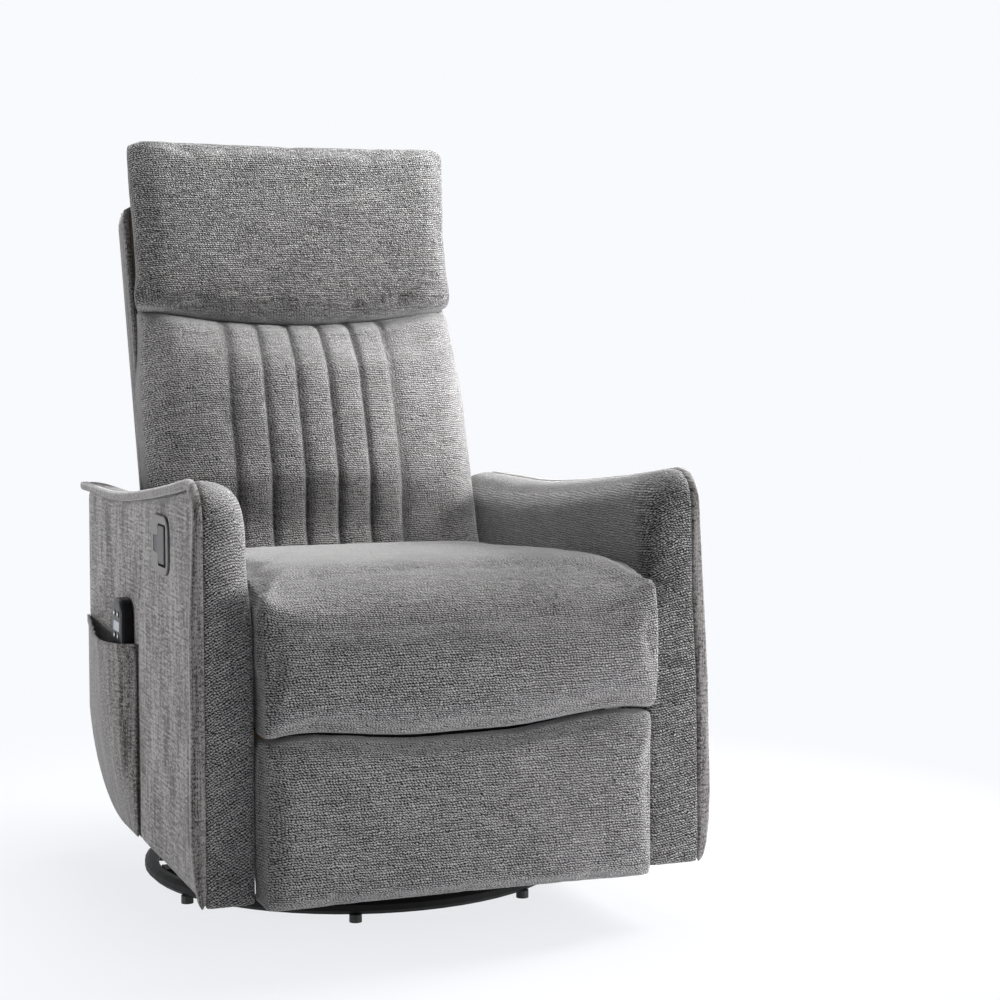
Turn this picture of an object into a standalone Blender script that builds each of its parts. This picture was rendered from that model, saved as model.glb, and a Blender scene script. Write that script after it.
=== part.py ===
"""Swivel rocker recliner, modelled piece by piece as it comes apart on a bench.

Metres, +Z up. The origin is on the floor, on the swivel axis, and the chair faces -Y.
Left and right are as seen from the front, so left is -X, the side with lever, pocket and handset.
"""

from math import asin, cos, pi, radians, sin, sqrt

import bmesh
import bpy
from mathutils import Matrix, Vector

# Gaps
FIT = 0.0003
SOFT_GAP = 0.005
LINK_GAP = 0.002

# Roundness
PIN_STEPS = 12
MOTOR_STEPS = 20
KEY_STEPS = 3
SHARP_ANGLE = radians(35)

# Floor base
FOOT_COUNT = 7
FOOT_RADIUS = 0.009
FOOT_HEIGHT = 0.011
FOOT_TURN = radians(46.6)
RING_RADIUS = 0.306
RING_TUBE = 0.020
RING_STEPS = 64
RING_SIDES = 8
SPOKE_COUNT = 4
SPOKE_WIDTH = 0.030
SPOKE_THICK = 0.012
HUB_RADIUS = 0.085
RACE_INNER = 0.030
RACE_OUTER = 0.075
RACE_THICK = 0.008
RACE_STEPS = 24
HUB_STEPS = 6

# Turntable and rocker
TURNTABLE_THICK = 0.006
TURNTABLE_LENGTH = 0.300
RUNNER_SPACING = 0.270
RUNNER_WIDTH = 0.030
RUNNER_HEIGHT = 0.0431
RUNNER_WALL = 0.004
CAM_WIDTH = 0.028
CAM_RADIUS = 0.150
CAM_DEPTH = 0.0747
CAM_STEPS = 12
RAIL_HEIGHT = 0.040
RAIL_FRONT = -0.250
RAIL_REAR = 0.200
CROSS_TUBE = 0.025
CROSS_SPACING = 0.240
SPRING_SPACING = 0.160
SPRING_RADIUS = 0.025
SPRING_WIRE = 0.005
SPRING_TURNS = 6
SPRING_POINTS = 9

# Arms
BAY_WIDTH = 0.550
ARM_PAD = 0.030
ARM_BOARD = 0.0167
PANEL_THICK = 0.018
FLANGE_PROUD = 0.016
FLANGE_WIDTH = 0.013
FLANGE_OVERHANG = 0.003
ARM_WRAP = 0.030
ARM_EDGE = 0.029
ARM_FRONT = -0.451
ARM_REAR = 0.318
ARM_BOTTOM = 0.080
ARM_TOP_FRONT = 0.624
ARM_TOP_REAR = 0.576
ARM_CORNER = 0.048
SWOOP_END = 0.100
SWOOP_EASE = 1.45
TAIL_LENGTH = 0.278
TAIL_RISE = 0.180
CORNER_STEPS = 5
SWOOP_STEPS = 8
TAIL_STEPS = 6
ARM_EDGE_STEPS = 4

# Release lever in its cup
LEVER_Y = -0.210
LEVER_Z = 0.524
BEZEL_LENGTH = 0.098
BEZEL_HEIGHT = 0.080
BEZEL_CORNER = 0.022
BEZEL_THICK = 0.003
CUP_RIM = 0.006
CUP_CORNER = 0.007
CUP_WALL = 0.002
CUP_DEPTH = 0.024
GRIP_LENGTH = 0.034
GRIP_HEIGHT = 0.052
GRIP_THICK = 0.006
GRIP_FRONT_GAP = 0.013
STUB_LENGTH = 0.023
STUB_HEIGHT = 0.022
BARREL_RADIUS = 0.004

# Handset and its pocket
HANDSET_Y = 0.010
HANDSET_WIDTH = 0.070
HANDSET_THICK = 0.018
HANDSET_HEIGHT = 0.140
HANDSET_BOTTOM = 0.286
HANDSET_CORNER = 0.024
KEY_LENGTH = 0.011
KEY_HEIGHT = 0.008
KEY_CORNER = 0.003
KEY_DEPTH = 0.003
KEY_PROUD = 0.001
KEY_TRAVEL = 0.0008
KEY_SPACING = 0.024
KEY_UPPER = 0.118
KEY_LOWER = 0.086
POCKET_FRONT = -0.043
POCKET_CREST = 0.050
POCKET_REAR_MARGIN = 0.009
POCKET_MOUTH = 0.366
POCKET_SAG = 0.005
POCKET_EASE = 0.002
POCKET_GAPE = 0.034
POCKET_CLOTH = 0.003
POCKET_HEM = 0.006
POCKET_STEPS = 6

# Seat
PLATE_THICK = 0.004
PLATE_FRONT = -0.384
PLATE_REAR = 0.182
PLATE_TOP = 0.345
PLATE_EAR = 0.020
PLATE_EAR_ROOT = 0.026
GLIDE_FLANGE = 0.022
GLIDE_THICK = 0.003
GLIDE_FRONT = -0.260
SEAT_RAIL_THICK = 0.025
SEAT_RAIL_HEIGHT = 0.045
FRONT_RAIL_Y = -0.400
REAR_RAIL_Y = 0.085
ZIGZAG_COUNT = 3
ZIGZAG_SPACING = 0.150
ZIGZAG_WIDTH = 0.050
ZIGZAG_WIRE = 0.004
ZIGZAG_WAVES = 6
ZIGZAG_POINTS = 6
ZIGZAG_LEAD = 0.014
SEAT_FRONT = -0.484
SEAT_CREST = 0.505
SEAT_LOW = 0.478
SEAT_LIP = 0.302
SEAT_SMILE = 0.017
SEAT_LIP_THICK = 0.070
SEAT_LIP_REAR_RISE = 0.012
SEAT_LIP_FLAT = 0.030
SEAT_LIP_ROUND = 0.015
SEAT_LIP_FRONT_RISE = 0.010
SEAT_NOSE = 0.075
SEAT_NOSE_UP = 0.020
SEAT_NOSE_STEPS = 6
SEAT_TOP_STEPS = 5
SEAT_STRIPS = 12
SEAT_DRAW = 0.014

# Back
BACK_Y = 0.160
BACK_Z = 0.360
BACK_LEAN = radians(18.5)
PAD_SIDE_GAP = 0.009
PAD_REAR = 0.020
PAD_BOTTOM = 0.032
SEAM_UP = 0.504
CHANNEL_COUNT = 5
CHANNEL_WIDTH = 0.056
CHANNEL_SEAM = 0.036
CHANNEL_BULGE = 0.016
CHANNEL_STEPS = 4
WING_SHARES = (0.2, 0.5, 0.8, 0.95)
WING_TUCK = -0.9
PAD_END_FILL = 0.55
PAD_ROWS = 10
HEAD_TOP = 0.768
HEAD_FRONT_LOW = 0.050
HEAD_FRONT_HIGH = 0.074
HEAD_DRAW = 0.018
HEAD_SIDE_FILL = 0.35
HEAD_END_FILL = 0.45
HEAD_ROWS = 11
HEAD_STRIPS = 12
BOARD_THICK = 0.018
BOARD_TOP = 0.680
BOARD_BOTTOM = 0.005
BACK_PANEL_THICK = 0.018
BACK_PANEL_TOP = 0.692
BACK_PANEL_BOTTOM = -0.090
BRACKET_THICK = 0.0045
BRACKET_GAP = 0.0009
BRACKET_TOP = 0.220
BRACKET_RADIUS = 0.018
BOSS_RADIUS = 0.008
MOTOR_RADIUS = 0.034
MOTOR_UP = 0.250

# Footrest
FOOTREST_PROUD = 0.003
FOOTREST_DEPTH = 0.055
FOOTREST_BOTTOM = 0.080
FOOTREST_GAP = 0.005
FOOTREST_BOARD = 0.012
FOOTREST_SIDE_GAP = 0.007
FOOTREST_BOARD_INSET = 0.006
FOOTREST_DRAW = 0.016
FOOTREST_SIDE_FILL = 0.45
FOOTREST_EDGE_FILL = 0.30
FOOTREST_STRIPS = 10
FOOTREST_ROWS = 8
LINK_THICK = 0.004
LINK_WIDTH = 0.020
PIN_RADIUS = 0.004
LINK_LENGTH = 0.165
LINK_TAIL = 0.033
PIVOT_A = (-0.360, 0.270)
PIVOT_B = (-0.337, 0.2397)
PIVOT_STANDOFF = 0.014
PIVOT_C_DROP = 0.050
PIVOT_D_DROP = 0.0344
FOOT_FLANGE = 0.020
FOOT_FLANGE_THICK = 0.002

# Heights and places that follow from the sizes above
RING_Z = FOOT_HEIGHT + FIT + RING_TUBE / 2
SPIDER_TOP = RING_Z + SPOKE_THICK / 2
RACE_BOTTOM = SPIDER_TOP + FIT
TURNTABLE_BOTTOM = RACE_BOTTOM + RACE_THICK + FIT
TURNTABLE_TOP = TURNTABLE_BOTTOM + TURNTABLE_THICK
RUNNER_TOP = TURNTABLE_TOP + RUNNER_HEIGHT
ROCK_Z = RUNNER_TOP + FIT + CAM_RADIUS
RAIL_BOTTOM = RUNNER_TOP + FIT + CAM_DEPTH
RAIL_TOP = RAIL_BOTTOM + RAIL_HEIGHT
CROSS_BOTTOM = RAIL_TOP + FIT
CROSS_TOP = CROSS_BOTTOM + CROSS_TUBE
ARM_INNER = BAY_WIDTH / 2
ARM_BOARD_INNER = ARM_INNER + ARM_PAD
PANEL_INNER = ARM_BOARD_INNER + ARM_BOARD + FIT
PANEL_OUTER = PANEL_INNER + PANEL_THICK
FLANGE_OUTER = PANEL_OUTER + FLANGE_PROUD
TAIL_TOP = ARM_BOTTOM + TAIL_RISE
TAIL_START = ARM_REAR - TAIL_LENGTH
BEZEL_BACK = PANEL_OUTER + FIT
BEZEL_FRONT = BEZEL_BACK + BEZEL_THICK
CUP_LENGTH = BEZEL_LENGTH - 2 * CUP_RIM
CUP_HEIGHT = BEZEL_HEIGHT - 2 * CUP_RIM
GRIP_FRONT = LEVER_Y - CUP_LENGTH / 2 + CUP_WALL + GRIP_FRONT_GAP
LEVER_HINGE_Y = GRIP_FRONT + GRIP_LENGTH + STUB_LENGTH
LEVER_HINGE_X = BEZEL_FRONT - BARREL_RADIUS
HANDSET_BACK = PANEL_OUTER + FIT
HANDSET_FACE = HANDSET_BACK + HANDSET_THICK
POCKET_REAR = ARM_REAR - POCKET_REAR_MARGIN
PLATE_OUTER = ARM_INNER - SOFT_GAP - LINK_THICK - FIT
PLATE_INNER = PLATE_OUTER - PLATE_THICK
LAYER_D = PLATE_INNER
LAYER_A = LAYER_D - LINK_GAP - LINK_THICK
LAYER_C = LAYER_A - LINK_GAP - LINK_THICK
LAYER_B = LAYER_C - LINK_GAP - LINK_THICK
GLIDE_BOTTOM = CROSS_TOP + FIT
SEAT_HALF = ARM_INNER - SOFT_GAP
SEAT_BASE = PLATE_TOP + FIT
BOARD_FRONT = PAD_REAR + FIT
PANEL_FRONT = BOARD_FRONT + BOARD_THICK + FIT
BRACKET_INNER = PLATE_INNER - BRACKET_GAP - BRACKET_THICK
BACK_HALF = BRACKET_INNER - FIT
PAD_HALF = ARM_INNER - PAD_SIDE_GAP
FOOTREST_TOP = SEAT_LIP - FOOTREST_GAP
FOOTREST_FRONT = SEAT_FRONT - FOOTREST_PROUD
FOOTREST_BACK = FOOTREST_FRONT + FOOTREST_DEPTH
FOOTREST_BOARD_FRONT = FOOTREST_BACK - FOOTREST_BOARD
FOOTREST_HALF = ARM_INNER - FOOTREST_SIDE_GAP
FOOTREST_BOARD_HALF = FOOTREST_HALF - FOOTREST_BOARD_INSET
LEFT = -1
RIGHT = 1
SIDES = {"left": LEFT, "right": RIGHT}

FINISHES = {
    "chenille": ((0.150, 0.145, 0.148), 0.95, 0.0),
    "brushed_cloth": ((0.185, 0.172, 0.170), 0.95, 0.0),
    "black_steel": ((0.012, 0.012, 0.013), 0.40, 0.9),
    "zinc_steel": ((0.420, 0.420, 0.410), 0.38, 1.0),
    "spring_steel": ((0.200, 0.200, 0.200), 0.35, 1.0),
    "plywood": ((0.480, 0.330, 0.190), 0.70, 0.0),
    "grey_plastic": ((0.090, 0.088, 0.090), 0.50, 0.0),
    "gloss_black": ((0.008, 0.008, 0.009), 0.12, 0.0),
    "key_white": ((0.600, 0.610, 0.620), 0.40, 0.0),
    "black_rubber": ((0.015, 0.015, 0.015), 0.80, 0.0),
}


# Building tools

def clear_scene():
    for item in list(bpy.data.objects):
        bpy.data.objects.remove(item, do_unlink=True)


def pivot(name, x, y, z, lean=0.0):
    """An empty on a joint's axis, leaning back by the given angle."""
    empty = bpy.data.objects.new(name, None)
    empty.location = (x, y, z)
    empty.rotation_euler = (-lean, 0.0, 0.0)
    bpy.context.collection.objects.link(empty)
    return empty


def paint(item, finish):
    colour, roughness, metallic = FINISHES[finish]
    material = bpy.data.materials.new(item.name + "_" + finish)
    material.use_nodes = True
    shader = material.node_tree.nodes["Principled BSDF"]
    shader.inputs["Base Color"].default_value = (*colour, 1.0)
    shader.inputs["Roughness"].default_value = roughness
    shader.inputs["Metallic"].default_value = metallic
    item.data.materials.append(material)


def place(name, data, finish, joint):
    """Link an object whose data is in its joint's own space."""
    item = bpy.data.objects.new(name, data)
    bpy.context.collection.objects.link(item)
    item.parent = joint
    if finish:
        paint(item, finish)
    else:
        item.hide_render = True
        item.display_type = "WIRE"
    return item


def solid(name, loops, finish, joint, wrap=False):
    """Skin equal loops of world points into one closed body, capped unless it wraps round."""
    local = joint.matrix_basis.inverted()
    build = bmesh.new()
    rows = [[build.verts.new(local @ Vector(point)) for point in loop] for loop in loops]
    pairs = list(zip(rows, rows[1:]))
    if wrap:
        pairs.append((rows[-1], rows[0]))
    else:
        build.faces.new(rows[0])
        build.faces.new(rows[-1])
    for low, high in pairs:
        for i in range(len(low)):
            j = (i + 1) % len(low)
            build.faces.new((low[i], low[j], high[j], high[i]))
    bmesh.ops.recalc_face_normals(build, faces=build.faces)
    mesh = bpy.data.meshes.new(name)
    build.to_mesh(mesh)
    build.free()
    mesh.shade_smooth()
    mesh.set_sharp_from_angle(angle=SHARP_ANGLE)
    return place(name, mesh, finish, joint)


def wire(name, points, radius, finish, joint):
    """A round wire along world points, with closed ends."""
    local = joint.matrix_basis.inverted()
    curve = bpy.data.curves.new(name, "CURVE")
    curve.dimensions = "3D"
    curve.bevel_depth = radius
    curve.bevel_resolution = 1
    curve.use_fill_caps = True
    spline = curve.splines.new("POLY")
    spline.points.add(len(points) - 1)
    for knot, point in zip(spline.points, points):
        knot.co = (*(local @ Vector(point)), 1.0)
    return place(name, curve, finish, joint)


def shape(item, operation, helper):
    step = item.modifiers.new(helper.name, "BOOLEAN")
    step.operation = operation
    step.object = helper


def slab(outline, x_low, x_high):
    """Two loops that stand an outline of (y, z) points between two x planes."""
    return [[(x, y, z) for y, z in outline] for x in (x_low, x_high)]


def block(low, high):
    (x0, y0, z0), (x1, y1, z1) = low, high
    return slab([(y0, z0), (y1, z0), (y1, z1), (y0, z1)], x0, x1)


def disc(radius, centre, steps):
    """An outline of (y, z) points round a centre."""
    y, z = centre
    turns = [2 * pi * i / steps for i in range(steps)]
    return [(y + radius * cos(turn), z + radius * sin(turn)) for turn in turns]


def rounded(length, height, corner, centre, steps=4):
    """A rounded rectangle of (y, z) points."""
    points = []
    for quarter, (side_y, side_z) in enumerate(((1, 1), (-1, 1), (-1, -1), (1, -1))):
        y = centre[0] + side_y * (length / 2 - corner)
        z = centre[1] + side_z * (height / 2 - corner)
        for i in range(steps + 1):
            turn = pi / 2 * (quarter + i / steps)
            points.append((y + corner * cos(turn), z + corner * sin(turn)))
    return points


def bar(start, end, width, steps=6):
    """A flat bar of (y, z) points with round ends."""
    along = Vector(end) - Vector(start)
    heading = along.to_2d().angle_signed(Vector((1, 0)))
    points = []
    for centre, first in ((end, heading - pi / 2), (start, heading + pi / 2)):
        for i in range(steps + 1):
            turn = first + pi * i / steps
            points.append((centre[0] + width / 2 * cos(turn), centre[1] + width / 2 * sin(turn)))
    return points


def limit(t):
    return min(max(t, 0.0), 1.0)


def smooth(t):
    t = limit(t)
    return t * t * (3 - 2 * t)


def dome(t):
    """A round swell that is nothing at 0 and 1 and full half way."""
    return 4 * t * (1 - t)


def filled(least, share):
    return least + (1 - least) * share


# Floor base

def make_base(joint):
    half = RING_TUBE / 2 / cos(pi / RING_SIDES)
    loops = []
    for i in range(RING_STEPS):
        turn = 2 * pi * i / RING_STEPS
        loop = []
        for k in range(RING_SIDES):
            tilt = 2 * pi * (k + 0.5) / RING_SIDES
            reach = RING_RADIUS + half * cos(tilt)
            loop.append((reach * cos(turn), reach * sin(turn), RING_Z + half * sin(tilt)))
        loops.append(loop)
    solid("base_ring", loops, "black_steel", joint, wrap=True)

    clear = (RING_RADIUS - RING_TUBE / 2) * cos(pi / RING_STEPS) - FIT
    reach = sqrt(clear ** 2 - (SPOKE_WIDTH / 2) ** 2)
    root = asin(SPOKE_WIDTH / 2 / HUB_RADIUS)
    outline = []
    for k in range(SPOKE_COUNT):
        heading = 2 * pi * k / SPOKE_COUNT
        along = Vector((cos(heading), sin(heading)))
        across = Vector((-sin(heading), cos(heading))) * SPOKE_WIDTH / 2
        outline += [along * reach - across, along * reach + across]
        sweep = 2 * pi / SPOKE_COUNT - 2 * root
        for i in range(HUB_STEPS + 1):
            turn = heading + root + sweep * i / HUB_STEPS
            outline.append(Vector((cos(turn), sin(turn))) * HUB_RADIUS)
    low, high = RING_Z - SPOKE_THICK / 2, SPIDER_TOP
    loops = [[(x, y, z) for x, y in outline] for z in (low, high)]
    solid("base_spider", loops, "black_steel", joint)

    section = [(RACE_INNER, 0.0), (RACE_OUTER, 0.0), (RACE_OUTER, RACE_THICK), (RACE_INNER, RACE_THICK)]
    loops = []
    for i in range(RACE_STEPS):
        turn = 2 * pi * i / RACE_STEPS
        loops.append([(r * cos(turn), r * sin(turn), RACE_BOTTOM + z) for r, z in section])
    solid("swivel_race", loops, "zinc_steel", joint, wrap=True)

    for k in range(FOOT_COUNT):
        turn = FOOT_TURN + 2 * pi * k / FOOT_COUNT
        rim = disc(FOOT_RADIUS, (RING_RADIUS * cos(turn), RING_RADIUS * sin(turn)), PIN_STEPS)
        loops = [[(x, y, z) for x, y in rim] for z in (0.0, FOOT_HEIGHT)]
        solid("foot_" + str(k + 1), loops, "black_rubber", joint)


# Turntable and rocker springs

def make_turntable(joint):
    inner = RUNNER_SPACING / 2 - RUNNER_WIDTH / 2
    outer = RUNNER_SPACING / 2 + RUNNER_WIDTH / 2
    roof = RUNNER_TOP - RUNNER_WALL
    near, far = inner + RUNNER_WALL, outer - RUNNER_WALL
    half = [(inner, TURNTABLE_TOP), (inner, RUNNER_TOP), (outer, RUNNER_TOP), (outer, TURNTABLE_BOTTOM),
            (far, TURNTABLE_BOTTOM), (far, roof), (near, roof), (near, TURNTABLE_BOTTOM)]
    profile = half + [(-x, z) for x, z in reversed(half)]
    ends = (-TURNTABLE_LENGTH / 2, TURNTABLE_LENGTH / 2)
    solid("turntable", [[(x, y, z) for x, z in profile] for y in ends], "black_steel", joint)

    low = TURNTABLE_TOP + FIT + SPRING_WIRE / 2
    high = CROSS_BOTTOM - FIT - SPRING_WIRE / 2
    steps = SPRING_TURNS * SPRING_POINTS
    corners = [(x, y) for y in (-1, 1) for x in (-1, 1)]
    for number, (side_x, side_y) in enumerate(corners, 1):
        x = side_x * SPRING_SPACING / 2
        y = side_y * CROSS_SPACING / 2
        points = []
        for i in range(steps + 1):
            turn = 2 * pi * i / SPRING_POINTS
            z = low + (high - low) * i / steps
            points.append((x + SPRING_RADIUS * cos(turn), y + SPRING_RADIUS * sin(turn), z))
        wire("rocker_spring_" + str(number), points, SPRING_WIRE / 2, "spring_steel", joint)
    gap = least_gap(points, SPRING_POINTS) - SPRING_WIRE
    print("rocker spring, least gap between turns: %.2f mm" % (gap * 1000))


def least_gap(points, turn_points):
    """Shortest distance between points at least half a turn apart."""
    rows = [Vector(point) for point in points]
    skip = turn_points // 2
    return min((rows[i] - rows[j]).length for i in range(len(rows)) for j in range(i + skip, len(rows)))


# Chair body

def make_chassis(joint):
    reach = sqrt(CAM_RADIUS ** 2 - (CAM_RADIUS - CAM_DEPTH) ** 2)
    spread = asin(reach / CAM_RADIUS)
    outline = [(RAIL_REAR, RAIL_BOTTOM), (RAIL_REAR, RAIL_TOP), (RAIL_FRONT, RAIL_TOP),
               (RAIL_FRONT, RAIL_BOTTOM)]
    for i in range(CAM_STEPS + 1):
        turn = -spread + 2 * spread * i / CAM_STEPS
        outline.append((CAM_RADIUS * sin(turn), ROCK_Z - CAM_RADIUS * cos(turn)))
    for name, side in SIDES.items():
        middle = side * RUNNER_SPACING / 2
        loops = slab(outline, middle - CAM_WIDTH / 2, middle + CAM_WIDTH / 2)
        solid("rocker_rail_" + name, loops, "plywood", joint)
    half = ARM_BOARD_INNER - FIT
    for name, y in (("front", -CROSS_SPACING / 2), ("rear", CROSS_SPACING / 2)):
        low = (-half, y - CROSS_TUBE / 2, CROSS_BOTTOM)
        high = (half, y + CROSS_TUBE / 2, CROSS_TOP)
        solid("cross_tube_" + name, block(low, high), "black_steel", joint)


def arm_outline(shrink):
    """Side view of an arm: front, swooping top, rear, then the raised tail, all drawn in by shrink."""
    front, rear = ARM_FRONT + shrink, ARM_REAR - shrink
    bottom, tail_top = ARM_BOTTOM + shrink, TAIL_TOP
    crest, low_top = ARM_TOP_FRONT - shrink, ARM_TOP_REAR - shrink
    corner = ARM_CORNER
    points = [(front, bottom)]
    for i in range(CORNER_STEPS + 1):
        turn = pi / 2 * i / CORNER_STEPS
        points.append((front + corner * (1 - cos(turn)), crest - corner * (1 - sin(turn))))
    start = front + corner
    for i in range(1, SWOOP_STEPS + 1):
        t = i / SWOOP_STEPS
        fall = 1 - (1 - t) ** SWOOP_EASE
        points.append((start + (SWOOP_END - start) * t, crest + (low_top - crest) * fall))
    points.append((rear, low_top))
    for i in range(TAIL_STEPS + 1):
        turn = pi / 2 * i / TAIL_STEPS
        y = TAIL_START + (rear - TAIL_START) * cos(turn)
        points.append((y, tail_top + (bottom - tail_top) * sin(turn)))
    return points


REAR_TOP = CORNER_STEPS + SWOOP_STEPS + 2


def make_arm(name, side, joint):
    board = slab(arm_outline(ARM_WRAP), side * ARM_BOARD_INNER, side * (ARM_BOARD_INNER + ARM_BOARD))
    arm_board = solid("arm_frame_" + name, board, "plywood", joint)

    arm_pad = make_arm_pad(name, side, joint)
    hollow = slab(arm_outline(ARM_WRAP - FIT), side * (ARM_BOARD_INNER - FIT), side * FLANGE_OUTER)
    shape(arm_pad, "DIFFERENCE", solid("arm_hollow_" + name, hollow, None, joint))

    sheet = slab(arm_outline(FLANGE_OVERHANG), side * PANEL_INNER, side * PANEL_OUTER)
    panel = solid("side_panel_" + name, sheet, "brushed_cloth", joint)
    edge = arm_outline(0.0)[:REAR_TOP + 1]
    inside = arm_outline(FLANGE_WIDTH)[:REAR_TOP + 1]
    inside[0] = (inside[0][0], edge[0][1])
    inside[-1] = (edge[-1][0], inside[-1][1])
    band = slab(edge + inside[::-1], side * (PANEL_INNER + FIT), side * FLANGE_OUTER)
    shape(panel, "UNION", solid("side_flange_" + name, band, None, joint))
    return panel, (arm_board, arm_pad)


def make_arm_pad(name, side, joint):
    """The padded cover of an arm: inner wall, top and front, with its inner edge rounded."""
    edge = arm_outline(0.0)[:REAR_TOP + 2]
    inset = arm_outline(ARM_EDGE)[:REAR_TOP + 2]
    column = ARM_FRONT + ARM_WRAP - 2 * FIT
    foot = [(column, TAIL_TOP), (column, ARM_BOTTOM)]
    loops = []
    for i in range(ARM_EDGE_STEPS + 1):
        turn = pi / 2 * i / ARM_EDGE_STEPS
        draw = 1 - sin(turn)
        outline = [(a + (c - a) * draw, b + (d - b) * draw) for (a, b), (c, d) in zip(edge, inset)]
        outline[0] = (outline[0][0], ARM_BOTTOM)
        outline[-1] = (outline[-1][0], TAIL_TOP)
        x = ARM_INNER + ARM_EDGE * (1 - cos(turn))
        loops.append([(side * x, y, z) for y, z in outline + foot])
    loops.append([(side * (PANEL_INNER - FIT), y, z) for y, z in edge + foot])
    return solid("arm_pad_" + name, loops, "chenille", joint)


# Release lever

def make_lever(chair, joint, panel, inner_pieces):
    centre = (LEVER_Y, LEVER_Z)
    back = PANEL_OUTER - CUP_DEPTH
    outer = rounded(CUP_LENGTH, CUP_HEIGHT, CUP_CORNER, centre)
    rim = rounded(BEZEL_LENGTH, BEZEL_HEIGHT, BEZEL_CORNER, centre)
    inner = rounded(CUP_LENGTH - 2 * CUP_WALL, CUP_HEIGHT - 2 * CUP_WALL, CUP_CORNER, centre)
    steps = ((outer, back), (outer, BEZEL_BACK), (rim, BEZEL_BACK), (rim, BEZEL_FRONT),
             (inner, BEZEL_FRONT), (inner, back + CUP_WALL))
    loops = [[(LEFT * x, y, z) for y, z in outline] for outline, x in steps]
    solid("lever_bezel", loops, "grey_plastic", chair)

    opening = rounded(CUP_LENGTH + 2 * FIT, CUP_HEIGHT + 2 * FIT, CUP_CORNER, centre)
    cutter = solid("lever_opening", slab(opening, LEFT * ARM_INNER, LEFT * FLANGE_OUTER), None, chair)
    shape(panel, "DIFFERENCE", cutter)
    cutter = solid("lever_pocket", slab(opening, LEFT * (back - FIT), LEFT * FLANGE_OUTER), None, chair)
    for piece in inner_pieces:
        shape(piece, "DIFFERENCE", cutter)

    grip_rear = GRIP_FRONT + GRIP_LENGTH
    half = [(GRIP_FRONT, GRIP_HEIGHT / 2), (grip_rear, GRIP_HEIGHT / 2), (grip_rear, STUB_HEIGHT / 2),
            (LEVER_HINGE_Y, STUB_HEIGHT / 2)]
    outline = half + [(y, -z) for y, z in reversed(half)]
    raised = [(y, LEVER_Z + z) for y, z in outline]
    plate = slab(raised, LEFT * BEZEL_FRONT, LEFT * (BEZEL_FRONT - GRIP_THICK))
    paddle = solid("release_lever", plate, "grey_plastic", joint)
    reach = CUP_HEIGHT / 2 - CUP_WALL - FIT
    ends = (LEVER_Z - reach, LEVER_Z + reach)
    round_bar = disc(BARREL_RADIUS, (LEFT * LEVER_HINGE_X, LEVER_HINGE_Y), PIN_STEPS)
    loops = [[(x, y, z) for x, y in round_bar] for z in ends]
    shape(paddle, "UNION", solid("lever_barrel", loops, None, joint))


# Handset and pocket

def make_handset(joint, key_joints):
    middle = HANDSET_BOTTOM + HANDSET_HEIGHT / 2
    outline = rounded(HANDSET_WIDTH, HANDSET_HEIGHT, HANDSET_CORNER, (HANDSET_Y, middle))
    loops = slab(outline, LEFT * HANDSET_BACK, LEFT * HANDSET_FACE)
    shell = solid("handset_shell", loops, "gloss_black", joint)
    floor = HANDSET_FACE - KEY_DEPTH - KEY_TRAVEL - FIT
    places = key_places()
    for number, (centre, key_joint) in enumerate(zip(places, key_joints), 1):
        outline = rounded(KEY_LENGTH, KEY_HEIGHT, KEY_CORNER, centre, KEY_STEPS)
        key = slab(outline, LEFT * (HANDSET_FACE - KEY_DEPTH), LEFT * (HANDSET_FACE + KEY_PROUD))
        solid("handset_key_" + str(number), key, "key_white", key_joint)
        well = rounded(KEY_LENGTH + 2 * FIT, KEY_HEIGHT + 2 * FIT, KEY_CORNER, centre, KEY_STEPS)
        loops = slab(well, LEFT * floor, LEFT * (HANDSET_FACE + KEY_PROUD))
        shape(shell, "DIFFERENCE", solid("key_well_" + str(number), loops, None, joint))


def key_places():
    columns = (HANDSET_Y - KEY_SPACING / 2, HANDSET_Y + KEY_SPACING / 2)
    return [(y, HANDSET_BOTTOM + up) for up in (KEY_UPPER, KEY_LOWER) for y in columns]


def panel_bottom(y):
    """Height of the side panel's lower edge."""
    t = limit((y - TAIL_START) / (ARM_REAR - TAIL_START))
    return TAIL_TOP + (ARM_BOTTOM - TAIL_TOP) * sqrt(1 - t * t)


def pocket_columns():
    """The pocket's length as (y, distance off the panel) pairs: it bellies out past the handset."""
    near = HANDSET_Y - HANDSET_WIDTH / 2 - FIT
    columns = [(POCKET_FRONT, 0.0), (near, HANDSET_THICK + POCKET_EASE), (POCKET_CREST, POCKET_GAPE)]
    for i in range(1, POCKET_STEPS + 1):
        t = i / POCKET_STEPS
        columns.append((POCKET_CREST + (POCKET_REAR - POCKET_CREST) * t, POCKET_GAPE * (1 - t)))
    return columns


def make_pocket(joint):
    """A cloth pouch, full from its mouth to the handset's foot and closing from there to its lower edge."""
    floor = HANDSET_BOTTOM - FIT
    loops = []
    for y, gape in pocket_columns():
        open_way = (y - POCKET_FRONT) / (POCKET_REAR - POCKET_FRONT)
        mouth = POCKET_MOUTH - POCKET_SAG * sin(pi * open_way)
        low = panel_bottom(y) + POCKET_HEM
        heights = [low, (low + floor) / 2, floor, (floor + mouth) / 2, mouth]
        inside = [PANEL_OUTER + FIT + gape * min(1.0, (z - low) / (floor - low)) for z in heights]
        loop = [(LEFT * x, y, z) for x, z in zip(inside, heights)]
        loop += [(LEFT * (x + POCKET_CLOTH), y, z) for x, z in zip(reversed(inside), reversed(heights))]
        loops.append(loop)
    solid("side_pocket", loops, "brushed_cloth", joint)


# Seat

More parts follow.
